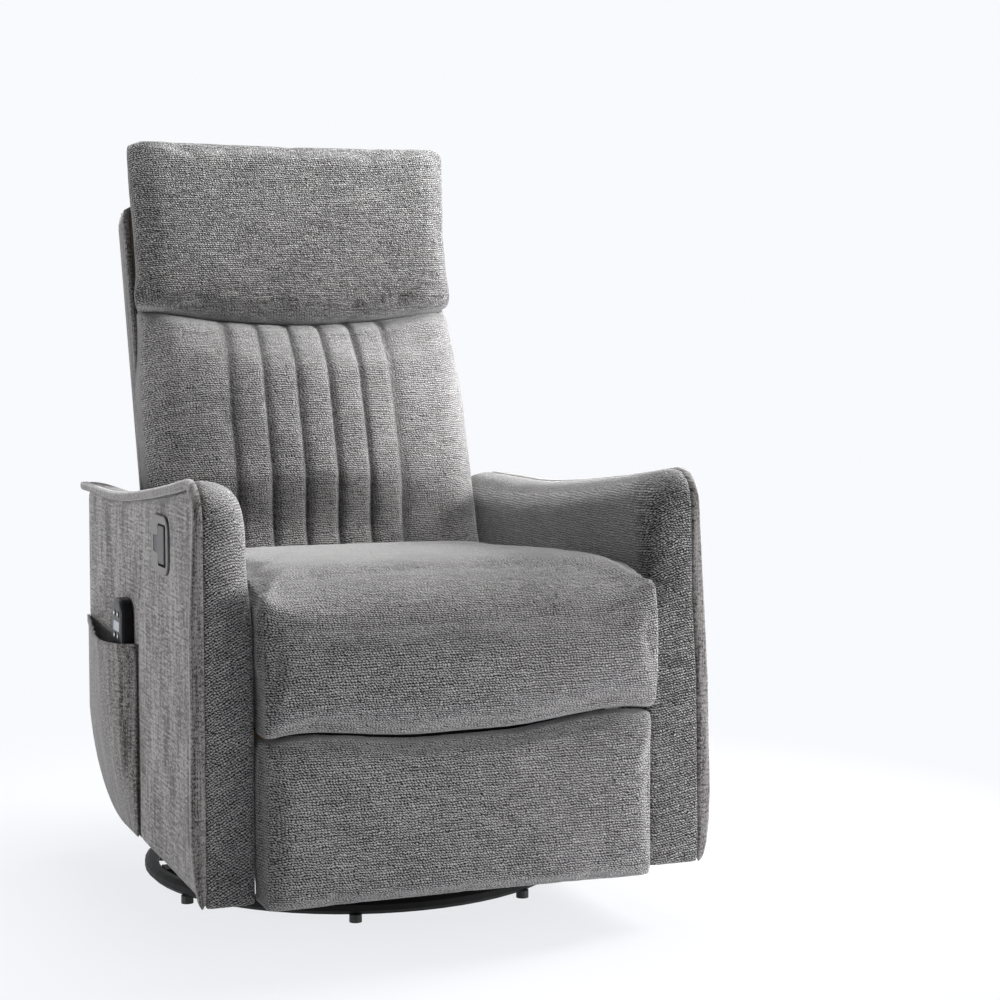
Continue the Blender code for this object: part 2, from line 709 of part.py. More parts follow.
def make_seat(joint):
    ear_low = BACK_Z - PLATE_EAR
    outline = [(PLATE_FRONT, PLATE_TOP), (PLATE_FRONT, PIVOT_A[1] - PLATE_EAR),
               (PIVOT_B[0] - PLATE_EAR, GLIDE_BOTTOM), (PLATE_REAR, GLIDE_BOTTOM), (PLATE_REAR, ear_low)]
    outline += [(BACK_Y + PLATE_EAR * cos(t), BACK_Z + PLATE_EAR * sin(t)) for t in (0, pi / 3, 2 * pi / 3)]
    outline += [(BACK_Y - PLATE_EAR_ROOT, PLATE_TOP)]
    for name, side in SIDES.items():
        loops = slab(outline, side * PLATE_INNER, side * PLATE_OUTER)
        plate = solid("seat_plate_" + name, loops, "zinc_steel", joint)
        low = (side * (PLATE_INNER - GLIDE_FLANGE), GLIDE_FRONT, GLIDE_BOTTOM)
        high = (side * (PLATE_INNER + PLATE_THICK / 2), PLATE_REAR - FIT, GLIDE_BOTTOM + GLIDE_THICK)
        shape(plate, "UNION", solid("glide_flange_" + name, block(low, high), None, joint))

    half = PLATE_INNER - FIT
    for name, y in (("front", FRONT_RAIL_Y), ("rear", REAR_RAIL_Y)):
        low = (-half, y, PLATE_TOP - SEAT_RAIL_HEIGHT)
        high = (half, y + SEAT_RAIL_THICK, PLATE_TOP)
        solid("seat_rail_" + name, block(low, high), "plywood", joint)

    first = FRONT_RAIL_Y + SEAT_RAIL_THICK + FIT
    last = REAR_RAIL_Y - FIT
    height = PLATE_TOP - ZIGZAG_WIRE
    steps = ZIGZAG_WAVES * ZIGZAG_POINTS
    for number in range(ZIGZAG_COUNT):
        middle = (number - (ZIGZAG_COUNT - 1) / 2) * ZIGZAG_SPACING
        points = []
        for i in range(steps + 1):
            x = middle + ZIGZAG_WIDTH / 2 * sin(2 * pi * i / ZIGZAG_POINTS + pi / ZIGZAG_POINTS)
            y = first + ZIGZAG_LEAD + (last - first - 2 * ZIGZAG_LEAD) * i / steps
            points.append((x, y, height))
        points = [(points[0][0], first, height)] + points + [(points[-1][0], last, height)]
        wire("seat_spring_" + str(number + 1), points, ZIGZAG_WIRE / 2, "spring_steel", joint)
    make_seat_cushion(joint)


def make_seat_cushion(joint):
    """A crowned cushion with a lip that hangs in front of the front rail and droops in the middle."""
    back = FRONT_RAIL_Y - FIT
    rear_low = back_front_y(SEAT_BASE) - SOFT_GAP
    rear_high = back_front_y(SEAT_LOW) - SOFT_GAP
    deep = SEAT_FRONT + SEAT_LIP_THICK
    side = [(rear_low, SEAT_BASE), (back, SEAT_BASE), (min(deep, back), SEAT_LIP + SEAT_LIP_REAR_RISE),
            (deep - SEAT_LIP_FLAT, SEAT_LIP), (SEAT_FRONT + SEAT_LIP_ROUND, SEAT_LIP + SEAT_LIP_FRONT_RISE)]
    front = SEAT_FRONT + SEAT_NOSE
    middle = (SEAT_CREST + SEAT_LIP) / 2 + SEAT_NOSE_UP
    tall = SEAT_CREST - middle
    for i in range(SEAT_NOSE_STEPS + 1):
        turn = pi / 2 * i / SEAT_NOSE_STEPS
        side.append((front - SEAT_NOSE * cos(turn), middle + tall * sin(turn)))
    for i in range(1, SEAT_TOP_STEPS + 1):
        t = i / SEAT_TOP_STEPS
        side.append((front + (rear_high - front) * t, SEAT_CREST + (SEAT_LOW - SEAT_CREST) * smooth(t)))
    loops = []
    for i in range(SEAT_STRIPS + 1):
        s = sin(pi / 2 * (2 * i / SEAT_STRIPS - 1))
        bulge = 1 - s ** 4
        loop = []
        for y, z in side:
            above = smooth((z - SEAT_BASE) / (SEAT_LOW - SEAT_BASE))
            ahead = smooth((FRONT_RAIL_Y - y) / (FRONT_RAIL_Y - SEAT_FRONT))
            lip = smooth((SEAT_BASE - z) / (SEAT_BASE - SEAT_LIP))
            y += SEAT_DRAW * (1 - bulge) * ahead
            z -= SEAT_DRAW * (1 - bulge) * above
            z -= SEAT_SMILE * (1 - s * s) * lip
            loop.append((s * SEAT_HALF, y, z))
        loops.append(loop)
    solid("seat_cushion", loops, "chenille", joint)


# Back, in its own leaning space: u runs to the rear and w runs up

def back_space(x, u, w):
    tilt = Matrix.Rotation(-BACK_LEAN, 3, "X")
    return Vector((0.0, BACK_Y, BACK_Z)) + tilt @ Vector((x, u, w))


def back_front_y(z):
    """Where the back cushion's front face stands at a height, at its fullest."""
    w = (z - BACK_Z) / cos(BACK_LEAN)
    full = CHANNEL_SEAM + CHANNEL_BULGE
    return BACK_Y - full / cos(BACK_LEAN) + w * sin(BACK_LEAN)


def back_slab(outline, u_low, u_high):
    return [[back_space(x, u, w) for x, w in outline] for u in (u_low, u_high)]


def make_back(joint):
    board = rectangle(BACK_HALF, BOARD_BOTTOM, BOARD_TOP)
    loops = back_slab(board, BOARD_FRONT, BOARD_FRONT + BOARD_THICK)
    back_board = solid("back_board", loops, "plywood", joint)
    panel = rectangle(BACK_HALF, BACK_PANEL_BOTTOM, BACK_PANEL_TOP)
    loops = back_slab(panel, PANEL_FRONT, PANEL_FRONT + BACK_PANEL_THICK)
    solid("back_panel", loops, "brushed_cloth", joint)
    for name, side in SIDES.items():
        make_bracket(name, side, joint)
    centre = (0.0, MOTOR_UP)
    loops = back_slab(disc(MOTOR_RADIUS, centre, MOTOR_STEPS), BOARD_FRONT, BOARD_FRONT + BOARD_THICK)
    solid("massage_motor", loops, "gloss_black", joint)
    well = disc(MOTOR_RADIUS + FIT, centre, MOTOR_STEPS)
    loops = back_slab(well, PAD_REAR - BOARD_THICK, PANEL_FRONT + BACK_PANEL_THICK)
    shape(back_board, "DIFFERENCE", solid("motor_well", loops, None, joint))
    make_back_cushion(joint)
    make_head_cushion(joint)


def rectangle(half, low, high):
    return [(-half, low), (half, low), (half, high), (-half, high)]


def make_bracket(name, side, joint):
    """A flat steel arm from the hinge up the board's edge, with the hinge's boss."""
    round_end = [(BRACKET_RADIUS * cos(t), BRACKET_RADIUS * sin(t)) for t in
                 (pi / 2, 3 * pi / 4, pi, 5 * pi / 4, 3 * pi / 2, 7 * pi / 4)]
    rear = BOARD_FRONT + BOARD_THICK
    outline = round_end + [(rear, BRACKET_RADIUS), (rear, BRACKET_TOP), (BOARD_FRONT, BRACKET_TOP),
                           (BOARD_FRONT, BRACKET_RADIUS)]
    planes = (side * BRACKET_INNER, side * (BRACKET_INNER + BRACKET_THICK))
    loops = [[back_space(x, u, w) for u, w in outline] for x in planes]
    bracket = solid("back_bracket_" + name, loops, "black_steel", joint)
    ends = (side * (BRACKET_INNER + BRACKET_THICK / 2), side * (PLATE_INNER - FIT))
    boss = [[back_space(x, u, w) for u, w in disc(BOSS_RADIUS, (0.0, 0.0), PIN_STEPS)] for x in ends]
    shape(bracket, "UNION", solid("hinge_boss_" + name, boss, None, joint))


def make_back_cushion(joint):
    """Five upright channels between plain padded sides."""
    seams = [(i - CHANNEL_COUNT / 2) * CHANNEL_WIDTH for i in range(CHANNEL_COUNT + 1)]
    stations = []
    for left in seams[:-1]:
        for k in range(CHANNEL_STEPS):
            t = k / CHANNEL_STEPS
            stations.append((left + CHANNEL_WIDTH * t, dome(t)))
    stations.append((seams[-1], 0.0))
    edge = PAD_HALF - seams[-1]
    wing = [(seams[-1] + edge * t, dome(t)) for t in WING_SHARES] + [(PAD_HALF, WING_TUCK)]
    stations = [(-x, full) for x, full in reversed(wing)] + stations + wing
    loops = []
    for i in range(PAD_ROWS + 1):
        t = i / PAD_ROWS
        w = PAD_BOTTOM + (SEAM_UP - FIT - PAD_BOTTOM) * (1 - cos(pi * t)) / 2
        fill = filled(PAD_END_FILL, 1 - abs(2 * t - 1) ** 4)
        front = []
        for x, full in stations:
            depth = CHANNEL_SEAM + CHANNEL_BULGE * full
            front.append(back_space(x, PAD_REAR - (PAD_REAR + depth) * fill, w))
        rear = [back_space(x, PAD_REAR, w) for x in (PAD_HALF, 0.0, -PAD_HALF)]
        loops.append(front + rear)
    solid("back_cushion", loops, "chenille", joint)


def make_head_cushion(joint):
    """A plump pillow that leans forward and overhangs the board at the top."""
    loops = []
    for i in range(HEAD_ROWS + 1):
        t = i / HEAD_ROWS
        rise = (1 - cos(pi * t)) / 2
        w = SEAM_UP + (HEAD_TOP - SEAM_UP) * rise
        fill = sqrt(sqrt(1 - abs(2 * t - 1) ** 6))
        full = HEAD_FRONT_LOW + (HEAD_FRONT_HIGH - HEAD_FRONT_LOW) * rise
        half = PAD_HALF - HEAD_DRAW * (1 - fill)
        front = []
        for k in range(HEAD_STRIPS + 1):
            s = sin(pi / 2 * (2 * k / HEAD_STRIPS - 1))
            crown = filled(HEAD_SIDE_FILL, sqrt(1 - s ** 6))
            lean = PAD_REAR - (PAD_REAR + full) * crown * filled(HEAD_END_FILL, fill)
            front.append(back_space(s * half, lean, w))
        rear = [back_space(x, PAD_REAR, w) for x in (half, 0.0, -half)]
        loops.append(front + rear)
    solid("head_cushion", loops, "chenille", joint)


# Footrest

def footrest_points():
    """The linkage's pivots when folded, as (y, z) points."""
    a = Vector(PIVOT_A)
    b = Vector(PIVOT_B)
    top = FOOTREST_TOP
    q1 = Vector((FOOTREST_BACK + PIVOT_STANDOFF, top - PIVOT_C_DROP))
    q2 = q1 - Vector((0.0, PIVOT_D_DROP))
    span = q1 - a
    drop = sqrt(LINK_LENGTH ** 2 - (span.length / 2) ** 2)
    across = Vector((-span.y, span.x)).normalized()
    e = a + span / 2 + across * drop
    n = e + (e - a).normalized() * LINK_TAIL
    m = e - (q1 - e).normalized() * LINK_TAIL
    return {"a": a, "b": b, "e": e, "n": n, "m": m, "q1": q1, "q2": q2}


def make_links(name, side, joints):
    at = footrest_points()
    runs = {"a": (at["a"], at["n"], LAYER_A), "b": (at["b"], at["m"], LAYER_B),
            "c": (at["m"], at["q1"], LAYER_C), "d": (at["n"], at["q2"], LAYER_D)}
    studs = {"a": ((at["a"], LAYER_A + LINK_THICK, PLATE_INNER), (at["n"], LAYER_A + LINK_THICK, LAYER_D),
                   (at["e"], LAYER_A, LAYER_C + LINK_THICK)),
             "b": ((at["b"], LAYER_B + LINK_THICK, PLATE_INNER), (at["m"], LAYER_B + LINK_THICK, LAYER_C)),
             "c": ((at["q1"], LAYER_C + LINK_THICK, LAYER_A),),
             "d": ((at["q2"], LAYER_D, LAYER_A + LINK_THICK),)}
    for key, (start, end, layer) in runs.items():
        loops = slab(bar(start, end, LINK_WIDTH), side * layer, side * (layer + LINK_THICK))
        link = solid("link_" + key + "_" + name, loops, "zinc_steel", joints[key])
        for number, (centre, near, far) in enumerate(studs[key]):
            step = 1 if far > near else -1
            planes = (side * (near - step * LINK_THICK / 2), side * (far - step * FIT))
            stud = slab(disc(PIN_RADIUS, centre, PIN_STEPS), *planes)
            label = "stud_" + key + str(number) + "_" + name
            shape(link, "UNION", solid(label, stud, None, joints[key]))


def make_footrest(joint):
    at = footrest_points()
    back = FOOTREST_BACK
    top = FOOTREST_TOP - SEAT_SMILE
    low = (-FOOTREST_BOARD_HALF, FOOTREST_BOARD_FRONT, FOOTREST_BOTTOM + FOOTREST_DRAW)
    solid("footrest_board", block(low, (FOOTREST_BOARD_HALF, back, top - FOOTREST_DRAW)), "plywood", joint)
    for name, side in SIDES.items():
        high_z = at["q1"].y + LINK_WIDTH / 2
        low_z = at["q2"].y - LINK_WIDTH / 2
        y0 = back + FIT
        y1 = at["q1"].x + LINK_WIDTH / 2
        inner = LAYER_A - FOOT_FLANGE
        outer = LAYER_A + LINK_THICK
        profile = [(inner, y0), (outer, y0), (outer, y1), (LAYER_A, y1), (LAYER_A, y0 + FOOT_FLANGE_THICK),
                   (inner, y0 + FOOT_FLANGE_THICK)]
        loops = [[(side * x, y, z) for x, y in profile] for z in (low_z, high_z)]
        solid("footrest_bracket_" + name, loops, "black_steel", joint)
    make_footrest_pad(joint)


def make_footrest_pad(joint):
    """A crowned pad whose top edge follows the seat's drooping lip."""
    rear = FOOTREST_BOARD_FRONT - FIT
    loops = []
    for i in range(FOOTREST_STRIPS + 1):
        s = sin(pi / 2 * (2 * i / FOOTREST_STRIPS - 1))
        fill = filled(FOOTREST_SIDE_FILL, sqrt(1 - s ** 6))
        top = FOOTREST_TOP - SEAT_SMILE * (1 - s * s)
        loop = [(s * FOOTREST_HALF, rear, FOOTREST_BOTTOM), (s * FOOTREST_HALF, rear, top)]
        for k in range(FOOTREST_ROWS + 1):
            t = sin(pi / 2 * (1 - 2 * k / FOOTREST_ROWS))
            z = (top + FOOTREST_BOTTOM) / 2 + (top - FOOTREST_BOTTOM) / 2 * t
            crown = filled(FOOTREST_EDGE_FILL, sqrt(1 - t ** 6))
            loop.append((s * FOOTREST_HALF, rear + (FOOTREST_FRONT - rear) * crown * fill, z))
        loops.append(loop)
    solid("footrest_pad", loops, "chenille", joint)


# Assembly

def main():
    clear_scene()
    make_base(pivot("floor", 0.0, 0.0, 0.0))
    make_turntable(pivot("swivel", 0.0, 0.0, TURNTABLE_BOTTOM))
    chair = pivot("rock", 0.0, 0.0, ROCK_Z)
    make_chassis(chair)
    boards = {name: make_arm(name, side, chair) for name, side in SIDES.items()}
    lever = pivot("lever_pull", LEFT * LEVER_HINGE_X, LEVER_HINGE_Y, LEVER_Z)
    make_lever(chair, lever, *boards["left"])
    make_pocket(chair)
    handset = pivot("handset_lift", LEFT * HANDSET_BACK, HANDSET_Y, HANDSET_BOTTOM)
    keys = [pivot("key_" + str(i + 1), LEFT * HANDSET_FACE, y, z) for i, (y, z) in enumerate(key_places())]
    make_handset(handset, keys)
    make_seat(pivot("seat_glide", 0.0, 0.0, GLIDE_BOTTOM))
    make_back(pivot("recline", 0.0, BACK_Y, BACK_Z, BACK_LEAN))
    at = footrest_points()
    joints = {key: pivot("link_" + key, 0.0, *at[point]) for key, point in
              (("a", "a"), ("b", "b"), ("c", "e"), ("d", "n"))}
    for name, side in SIDES.items():
        make_links(name, side, joints)
    make_footrest(pivot("footrest_turn", 0.0, *at["q1"]))


main()
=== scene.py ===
from math import cos, pi, radians, sin, sqrt

import bmesh
import bpy
import numpy as np
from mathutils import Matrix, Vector, noise


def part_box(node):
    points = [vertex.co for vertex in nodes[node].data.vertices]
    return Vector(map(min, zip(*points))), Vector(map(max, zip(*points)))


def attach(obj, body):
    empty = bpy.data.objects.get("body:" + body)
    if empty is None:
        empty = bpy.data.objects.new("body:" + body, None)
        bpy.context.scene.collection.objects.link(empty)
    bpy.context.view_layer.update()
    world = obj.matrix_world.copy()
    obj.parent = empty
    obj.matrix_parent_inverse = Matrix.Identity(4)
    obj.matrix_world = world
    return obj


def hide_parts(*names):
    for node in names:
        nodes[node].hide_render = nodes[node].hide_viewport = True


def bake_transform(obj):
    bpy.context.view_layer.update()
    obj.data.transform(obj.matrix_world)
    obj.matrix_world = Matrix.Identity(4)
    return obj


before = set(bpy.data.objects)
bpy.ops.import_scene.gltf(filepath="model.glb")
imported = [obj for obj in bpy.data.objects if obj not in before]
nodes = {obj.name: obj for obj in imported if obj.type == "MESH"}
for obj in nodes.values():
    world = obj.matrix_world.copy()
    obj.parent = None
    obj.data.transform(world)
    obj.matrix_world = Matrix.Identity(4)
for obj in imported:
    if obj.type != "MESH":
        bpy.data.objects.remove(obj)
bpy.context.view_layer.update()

# Sizes are in metres, and shares, counts and powers have no unit

# Fits
CLEARANCE = 0.0003
PANEL_FIT = 0.0005
CUT_PAST = 0.002

# Arms
ARM_INNER = 0.275
BOARD_INNER = 0.305
PANEL_INNER = 0.322
PANEL_OUTER = 0.340
FLANGE_OUTER = 0.356
ARM_FRONT = -0.451
ARM_REAR = 0.318
ARM_BOTTOM = 0.080
ARM_TOP_FRONT = 0.624
ARM_TOP_REAR = 0.576
ARM_CORNER = 0.048
ARM_WRAP = 0.030
ARM_ROLL = 0.044
ARM_RIM = 0.342
RIM_WIDTH = 0.012
SWOOP_END, SWOOP_EASE = 0.100, 1.45
TAIL_START = 0.040
TAIL_TOP = 0.260
ROLL_EASE, ROLL_REAR = 1.1, 0.4
ROLL_FILL, ROLL_LOW, ROLL_FADE = 0.95, 0.09, 0.11
EDGE_POINTS = 90
BOW_LEVELS = (0.080, 0.110, 0.222, 0.334, 0.445, 0.550)
BOW_OUT = (0.011, 0.013, 0.011, 0.009, 0.002, 0.0)
BOW_START, BOW_FADE, BOW_RUN = 0.300, 0.6, 0.5
PANEL_INSET = 0.003
PANEL_PAST = 0.010
PANEL_WAVE = 0.0012
SEAM_DEPTH, SEAM_WIDTH = 0.0022, 0.004
SEAM_AHEAD, SEAM_SLANT, SEAM_RISE = 0.003, 0.055, 0.20
FOLD_RISE, FOLD_REACH, FOLD_TOP, FOLD_FADE = 0.85, 0.075, 0.585, 0.06
PROUD_LEVELS = (0.080, 0.107, 0.135, 0.180, 0.300, 0.440, 0.526, 0.580)
PROUD_OUT = (0.008, 0.012, 0.0155, 0.0180, 0.0165, 0.0165, 0.0125, 0.0105)
FLANGE_WIDTH, FLANGE_TUCK, FLANGE_PAST, FLANGE_SINK = 0.013, 0.001, 0.002, 0.002
FLANGE_STATIONS, FLANGE_SIDES, FLANGE_END_STATIONS = 220, 20, 4
FLANGE_END, FLANGE_SQUARE, FLANGE_WAVE = 0.15, 0.6, 0.06

# Lever, handset and pocket, all on the left
LEVER_Y, LEVER_Z = -0.210, 0.524
CUP_LENGTH, CUP_HEIGHT, CUP_CORNER, CUP_FLOOR = 0.0866, 0.0686, 0.007, 0.002
CUP_BACK, BEZEL_BACK, BEZEL_FRONT = 0.316, 0.3403, 0.3433
BEZEL_LENGTH, BEZEL_HEIGHT, BEZEL_CORNER = 0.098, 0.080, 0.022
BEZEL_ROUND, BEZEL_DRAW = 0.0010, 0.0014
GRIP_FRONT, GRIP_REAR, GRIP_HALF, GRIP_THICK = -0.238, -0.204, 0.026, 0.006
GRIP_CORNER, GRIP_ROUND, GRIP_ROOM, FINGER_ROOM = 0.004, 0.001, 0.0030, 0.013
HINGE_Y, STEM_HALF, STEM_LAP, STEM_SINK = -0.181, 0.011, 0.004, 0.0005
BARREL, BARREL_SIDES, BARREL_ROOM, BARREL_SHORT = 0.004, 20, 0.0048, 0.0004
WELL_CORNER, SLOT_CORNER = 0.005, 0.001
CREASE = radians(35)
HANDSET_Y = 0.010
HANDSET_WIDTH = 0.070
HANDSET_BOTTOM, HANDSET_HEIGHT = 0.286, 0.140
HANDSET_BACK, HANDSET_FACE = 0.3403, 0.3583
HANDSET_CORNER, HANDSET_EASE = 0.024, 0.0015
FACE_EDGE = ((0.0050, 0.0), (0.0032, 0.0004), (0.0015, 0.0014), (0.0004, 0.0029), (0.0, 0.0046))
KEY_LENGTH, KEY_HEIGHT, KEY_CORNER = 0.0116, 0.0086, 0.003
KEY_FLOOR = 0.3542
KEY_ASIDE = 0.012
KEY_ROWS = (0.404, 0.372)
POCKET_FRONT = -0.043
POCKET_CREST = 0.050
POCKET_REAR = 0.309
POCKET_MOUTH = 0.366
POCKET_SAG = 0.005
POCKET_NEAR, POCKET_HALFWAY, POCKET_GAPE, POCKET_FAR = 0.020, 0.030, 0.034, 0.0325
POCKET_FAR_RUN = 0.03
POCKET_CLOTH, POCKET_FOLD = 0.0022, 0.0026
FOLDS_FROM, FOLDS_RISE, FOLDS_FADE = 0.02, 0.06, 0.04
POCKET_HEM, HEM_THICK, HEM_DROP, HEM_FADE = 0.006, 0.0018, 0.016, 0.004
POCKET_COLUMNS, POCKET_ROWS, POCKET_CROWD = 70, 45, 1.25

# Seat and footrest
SEAT_FRONT = -0.484
SEAT_REAR = 0.136
SEAT_CREST = 0.505
SEAT_LOW = 0.478
SEAT_HALF, SEAT_BULGE = 0.270, 0.280
SEAT_BASE = 0.3453
SEAT_EASE, SEAT_DRAW, SEAT_CROWN = 0.006, 0.008, 0.005
SEAT_POINTS = 160
NOSE_DEEP, NOSE_TALL = 0.090, 0.085
BROW_DROP, BROW_RUN, BROW_EDGE = 0.015, 0.080, 0.002
UNDER_FRONT, UNDER_STEP, UNDER_TALL = -0.400, 0.004, 0.012
LIP_REAR, LIP_GAP, LIP_SAG = -0.4145, 0.0045, 0.003
LIP_HEEL = ((0.0, 0.012), (-0.010, 0.002), (-0.035, 0.0))
LIP_TOE = ((0.008, 0.001), (0.002, 0.007), (0.0, 0.05))
LIP_MIDDLE, LIP_RISE, LIP_DIP, LIP_RUN = 0.2905, 0.013, 0.003, 68
LIP_FLAT, LIP_BEND, LIP_END, LIP_EDGE = 0.050, 0.175, 0.225, 0.045
BELLY_LOW, BELLY_TALL = 0.295, 0.180
BELLY_LEFT, BELLY_OUT = 0.2755, 0.008
BELLY_STRETCH, BELLY_FULL = 1.012, 0.026
SEAT_FIT, SEAT_LAP, BACK_GAP = 0.0015, 0.002, 0.003
FOOTREST_FRONT = -0.487
FOOTREST_REAR = -0.4443
FOOTREST_WRAP = -0.4150
FOOTREST_BOTTOM = 0.080
FOOTREST_HALF, FOOTREST_BULGE, FOOTREST_LIMIT, FOOTREST_CHEEK = 0.2715, 0.2745, 0.2738, 0.2635
FOOTREST_SIDE, FOOTREST_EDGE, CHEEK_SHARE = 0.86, 0.72, 0.97
FOOTREST_EASE, FOOTREST_HEEL, FOOTREST_PROUD, FOOTREST_CROWN = 0.006, 0.004, 0.005, 0.002
FOOTREST_POINTS = 100
LINING_WIDTH, LINING_CUT, LINING_LOW, LINING_TALL = 0.464, 0.082, 0.262, 0.081
LINING_Y, LINING_HALF, LINING_WAVE = -0.4030, 0.0007, 0.0016

# Back, in its own leaning space: u runs to the rear and w runs up
BACK_Y, BACK_Z = 0.160, 0.360
BACK_LEAN = radians(18.5)
PAD_HALF = 0.266
PAD_FRONT = 0.052
PAD_REAR = 0.020
PAD_BOTTOM = 0.032
SEAM_UP, SEAM_LIFT, SEAM_SAG, SEAM_GAP = 0.504, 0.004, 0.027, 0.001
CHANNEL_WIDTH, CHANNELS = 0.053, 5
CHANNEL_LOW, CHANNEL_EASE, CHANNEL_STITCH, CHANNEL_SHADE = 0.60, 0.75, 0.0028, 0.40
WING_RUN, WING_EASE, WING_EDGE = 2.6, 2.6, -0.95
WING_FALL, WING_FALL_FROM, WING_FALL_RUN = 1.9, 0.55, 0.45
BACK_ROWS = 84
LUMBAR_DEEP, CHANNEL_DEEP, BACK_WAVE = 0.037, 0.0145, 0.0016
LUMBAR_TUCK, TUCK_RUN = 0.040, 0.16
LUMBAR_BELLY, LUMBAR_LOW, LUMBAR_RISE, LUMBAR_FADE = 0.030, 0.125, 0.100, 0.10
TOP_RUN, TOP_CLOSE, FOOT_RUN, FOOT_CLOSE, CLOSE_EASE = 0.030, 0.45, 0.040, 0.4, 2.2
HEAD_TOP = 0.768
HEAD_DEEP, HEAD_SWELL, HEAD_FRONT = 0.050, 0.024, -0.0830
HEAD_BULGE, HEAD_HALF = 0.2700, 0.268
HEAD_SIDE, HEAD_EDGE = 0.62, 0.45
HEAD_GAP, HEAD_CLEAR, HEAD_DRAW, HEAD_HORN, HEAD_CROWN = 0.002, 0.0005, 0.004, 0.002, 0.010
# Painted shade on the head cushion's cover: deepest at the seam below it, lifting towards its top
HEAD_SHADE_DEEP, HEAD_SHADE_LIFT = -0.30, 0.18
HEAD_POINTS = 110
HEAD_LEVELS = (0.488, 0.525, 0.560, 0.630, 0.700, 0.768)
HEAD_LEFT = (0.268, 0.270, 0.2635, 0.262, 0.263, 0.262)
HEAD_RIGHT = (0.262, 0.264, 0.2605, 0.260, 0.265, 0.269)
HEAD_TUCK, TUCK_START, TUCK_DEEP = 0.058, -0.060, 0.080
PANEL_FRONT = 0.0386
PANEL_REAR = 0.0566
SHELL_HALF, SHELL_LOW, SHELL_HIGH = 0.2600, -0.090, 0.690
SHELL_EDGE, SHELL_SWELL, SHELL_END = 0.003, 0.006, 0.03
BORDER_LINE = [(0.2455, 0.6875), (0.2555, 0.684), (0.2580, 0.672), (0.2580, 0.228)]
BORDER_POINTS = 170
BORDER_THICK, BORDER_DEEP, BORDER_CORNER, BORDER_MIDDLE = 0.0115, 0.034, 0.0045, 0.0385
BORDER_AHEAD, BORDER_AHEAD_UP, BORDER_AHEAD_RUN = 0.0115, 0.390, 0.050

# Rocker springs
SPRING_RADIUS, SPRING_WIRE, SPRING_TURNS = 0.025, 0.005, 6
COIL_STEPS, WIRE_STEPS = 30, 10

# Meshes and cloth
FINE_MESH, PLAIN_MESH = 0.005, 0.006
PUFF_PRESSURE, PUFF_FRAMES, EDGE_PULL = 4.0, 20, 0.15
SEAT_PUFF, FOOTREST_PUFF, HEAD_PUFF = 0.010, 0.007, 0.008
CLOTH_STRIPS, REAR_FACING = 60, 0.6
KNOT_ACROSS, KNOT_UP = 0.0042, 0.0035
CHENILLE_DARK, CHENILLE_LIGHT = (0.012, 0.0115, 0.0115), (0.430, 0.422, 0.420)
NAP_DARK, NAP_LIGHT = (0.040, 0.037, 0.036), (0.270, 0.258, 0.253)

# Studio, with the camera's angles in degrees
PALE = (0.945, 0.955, 0.985)
FLOOR_HALF, FLOOR_GREY = 14.0, (0.80, 0.81, 0.83)
SHADOW_NEAR, SHADOW_FAR, SHADOW_GLOW = 0.35, 1.3, 0.82
SOFT_LIGHT, SOFT_STRENGTH = (0.97, 0.98, 1.0), 0.16
SENSOR, LENS = 36, 78.24
CAMERA_PLACE = (-0.9824, -3.1048, 0.8111)
CAMERA_DIP, CAMERA_TURN = 4.4259, -21.415


# Small sums

def smooth(t):
    """Eases from 0 to 1."""
    t = min(max(t, 0.0), 1.0)
    return t * t * (3 - 2 * t)


def leaning(x, u, w):
    """A place in the back's own space, as a place in the room."""
    return (x, BACK_Y + u * cos(BACK_LEAN) + w * sin(BACK_LEAN),
            BACK_Z - u * sin(BACK_LEAN) + w * cos(BACK_LEAN))


def upright(points):
    """Places in the room, as (x, u, w) in the back's own space."""
    y, z = points[:, 1] - BACK_Y, points[:, 2] - BACK_Z
    return np.stack([points[:, 0], y * cos(BACK_LEAN) - z * sin(BACK_LEAN),
                     y * sin(BACK_LEAN) + z * cos(BACK_LEAN)], 1)


def resample(points, count):
    """Evenly spaced points along a line."""
    points = np.array(points, float)
    run = np.r_[0, np.cumsum(np.linalg.norm(np.diff(points, axis=0), axis=1))]
    at = np.linspace(0, run[-1], count)
    return np.stack([np.interp(at, run, points[:, k]) for k in range(points.shape[1])], 1)


def rounded(length, height, corner, centre, steps=6):
    """A rounded rectangle of two-way points."""
    points = []
    for number, (a, b) in enumerate(((1, 1), (-1, 1), (-1, -1), (1, -1))):
        mid = (centre[0] + a * (length / 2 - corner), centre[1] + b * (height / 2 - corner))
        for i in range(steps + 1):
            turn = pi / 2 * (number + i / steps)
            points.append((mid[0] + corner * cos(turn), mid[1] + corner * sin(turn)))
    return points


def quarter(steps):
    """The angles of a quarter turn."""
    return [pi / 2 * i / steps for i in range(steps + 1)]


def crowded(steps):
    """Values from -1 to 1 that crowd towards both ends."""
    return [sin(pi / 2 * (2 * i / steps - 1)) for i in range(steps + 1)]


def slab(outline, *across):
    """A side outline of (y, z) points as one loop at each place across."""
    return [[(x, y, z) for y, z in outline] for x in across]


def with_square(path):
    """Each point of a line with the way that is square to it."""
    pairs = []
    for i, point in enumerate(path):
        ahead = path[min(i + 1, len(path) - 1)] - path[max(i - 1, 0)]
        ahead = ahead / np.linalg.norm(ahead)
        pairs.append((point, np.array((-ahead[1], ahead[0]))))
    return pairs


# Mesh tools

def coords(mesh):
    flat = np.empty(len(mesh.vertices) * 3)
    mesh.vertices.foreach_get("co", flat)
    return flat.reshape(-1, 3)


def set_coords(mesh, points):
    mesh.vertices.foreach_set("co", np.ascontiguousarray(points, float).ravel())
    mesh.update()


def normals(mesh):
    flat = np.empty(len(mesh.vertices) * 3)
    mesh.vertex_normals.foreach_get("vector", flat)
    return flat.reshape(-1, 3)


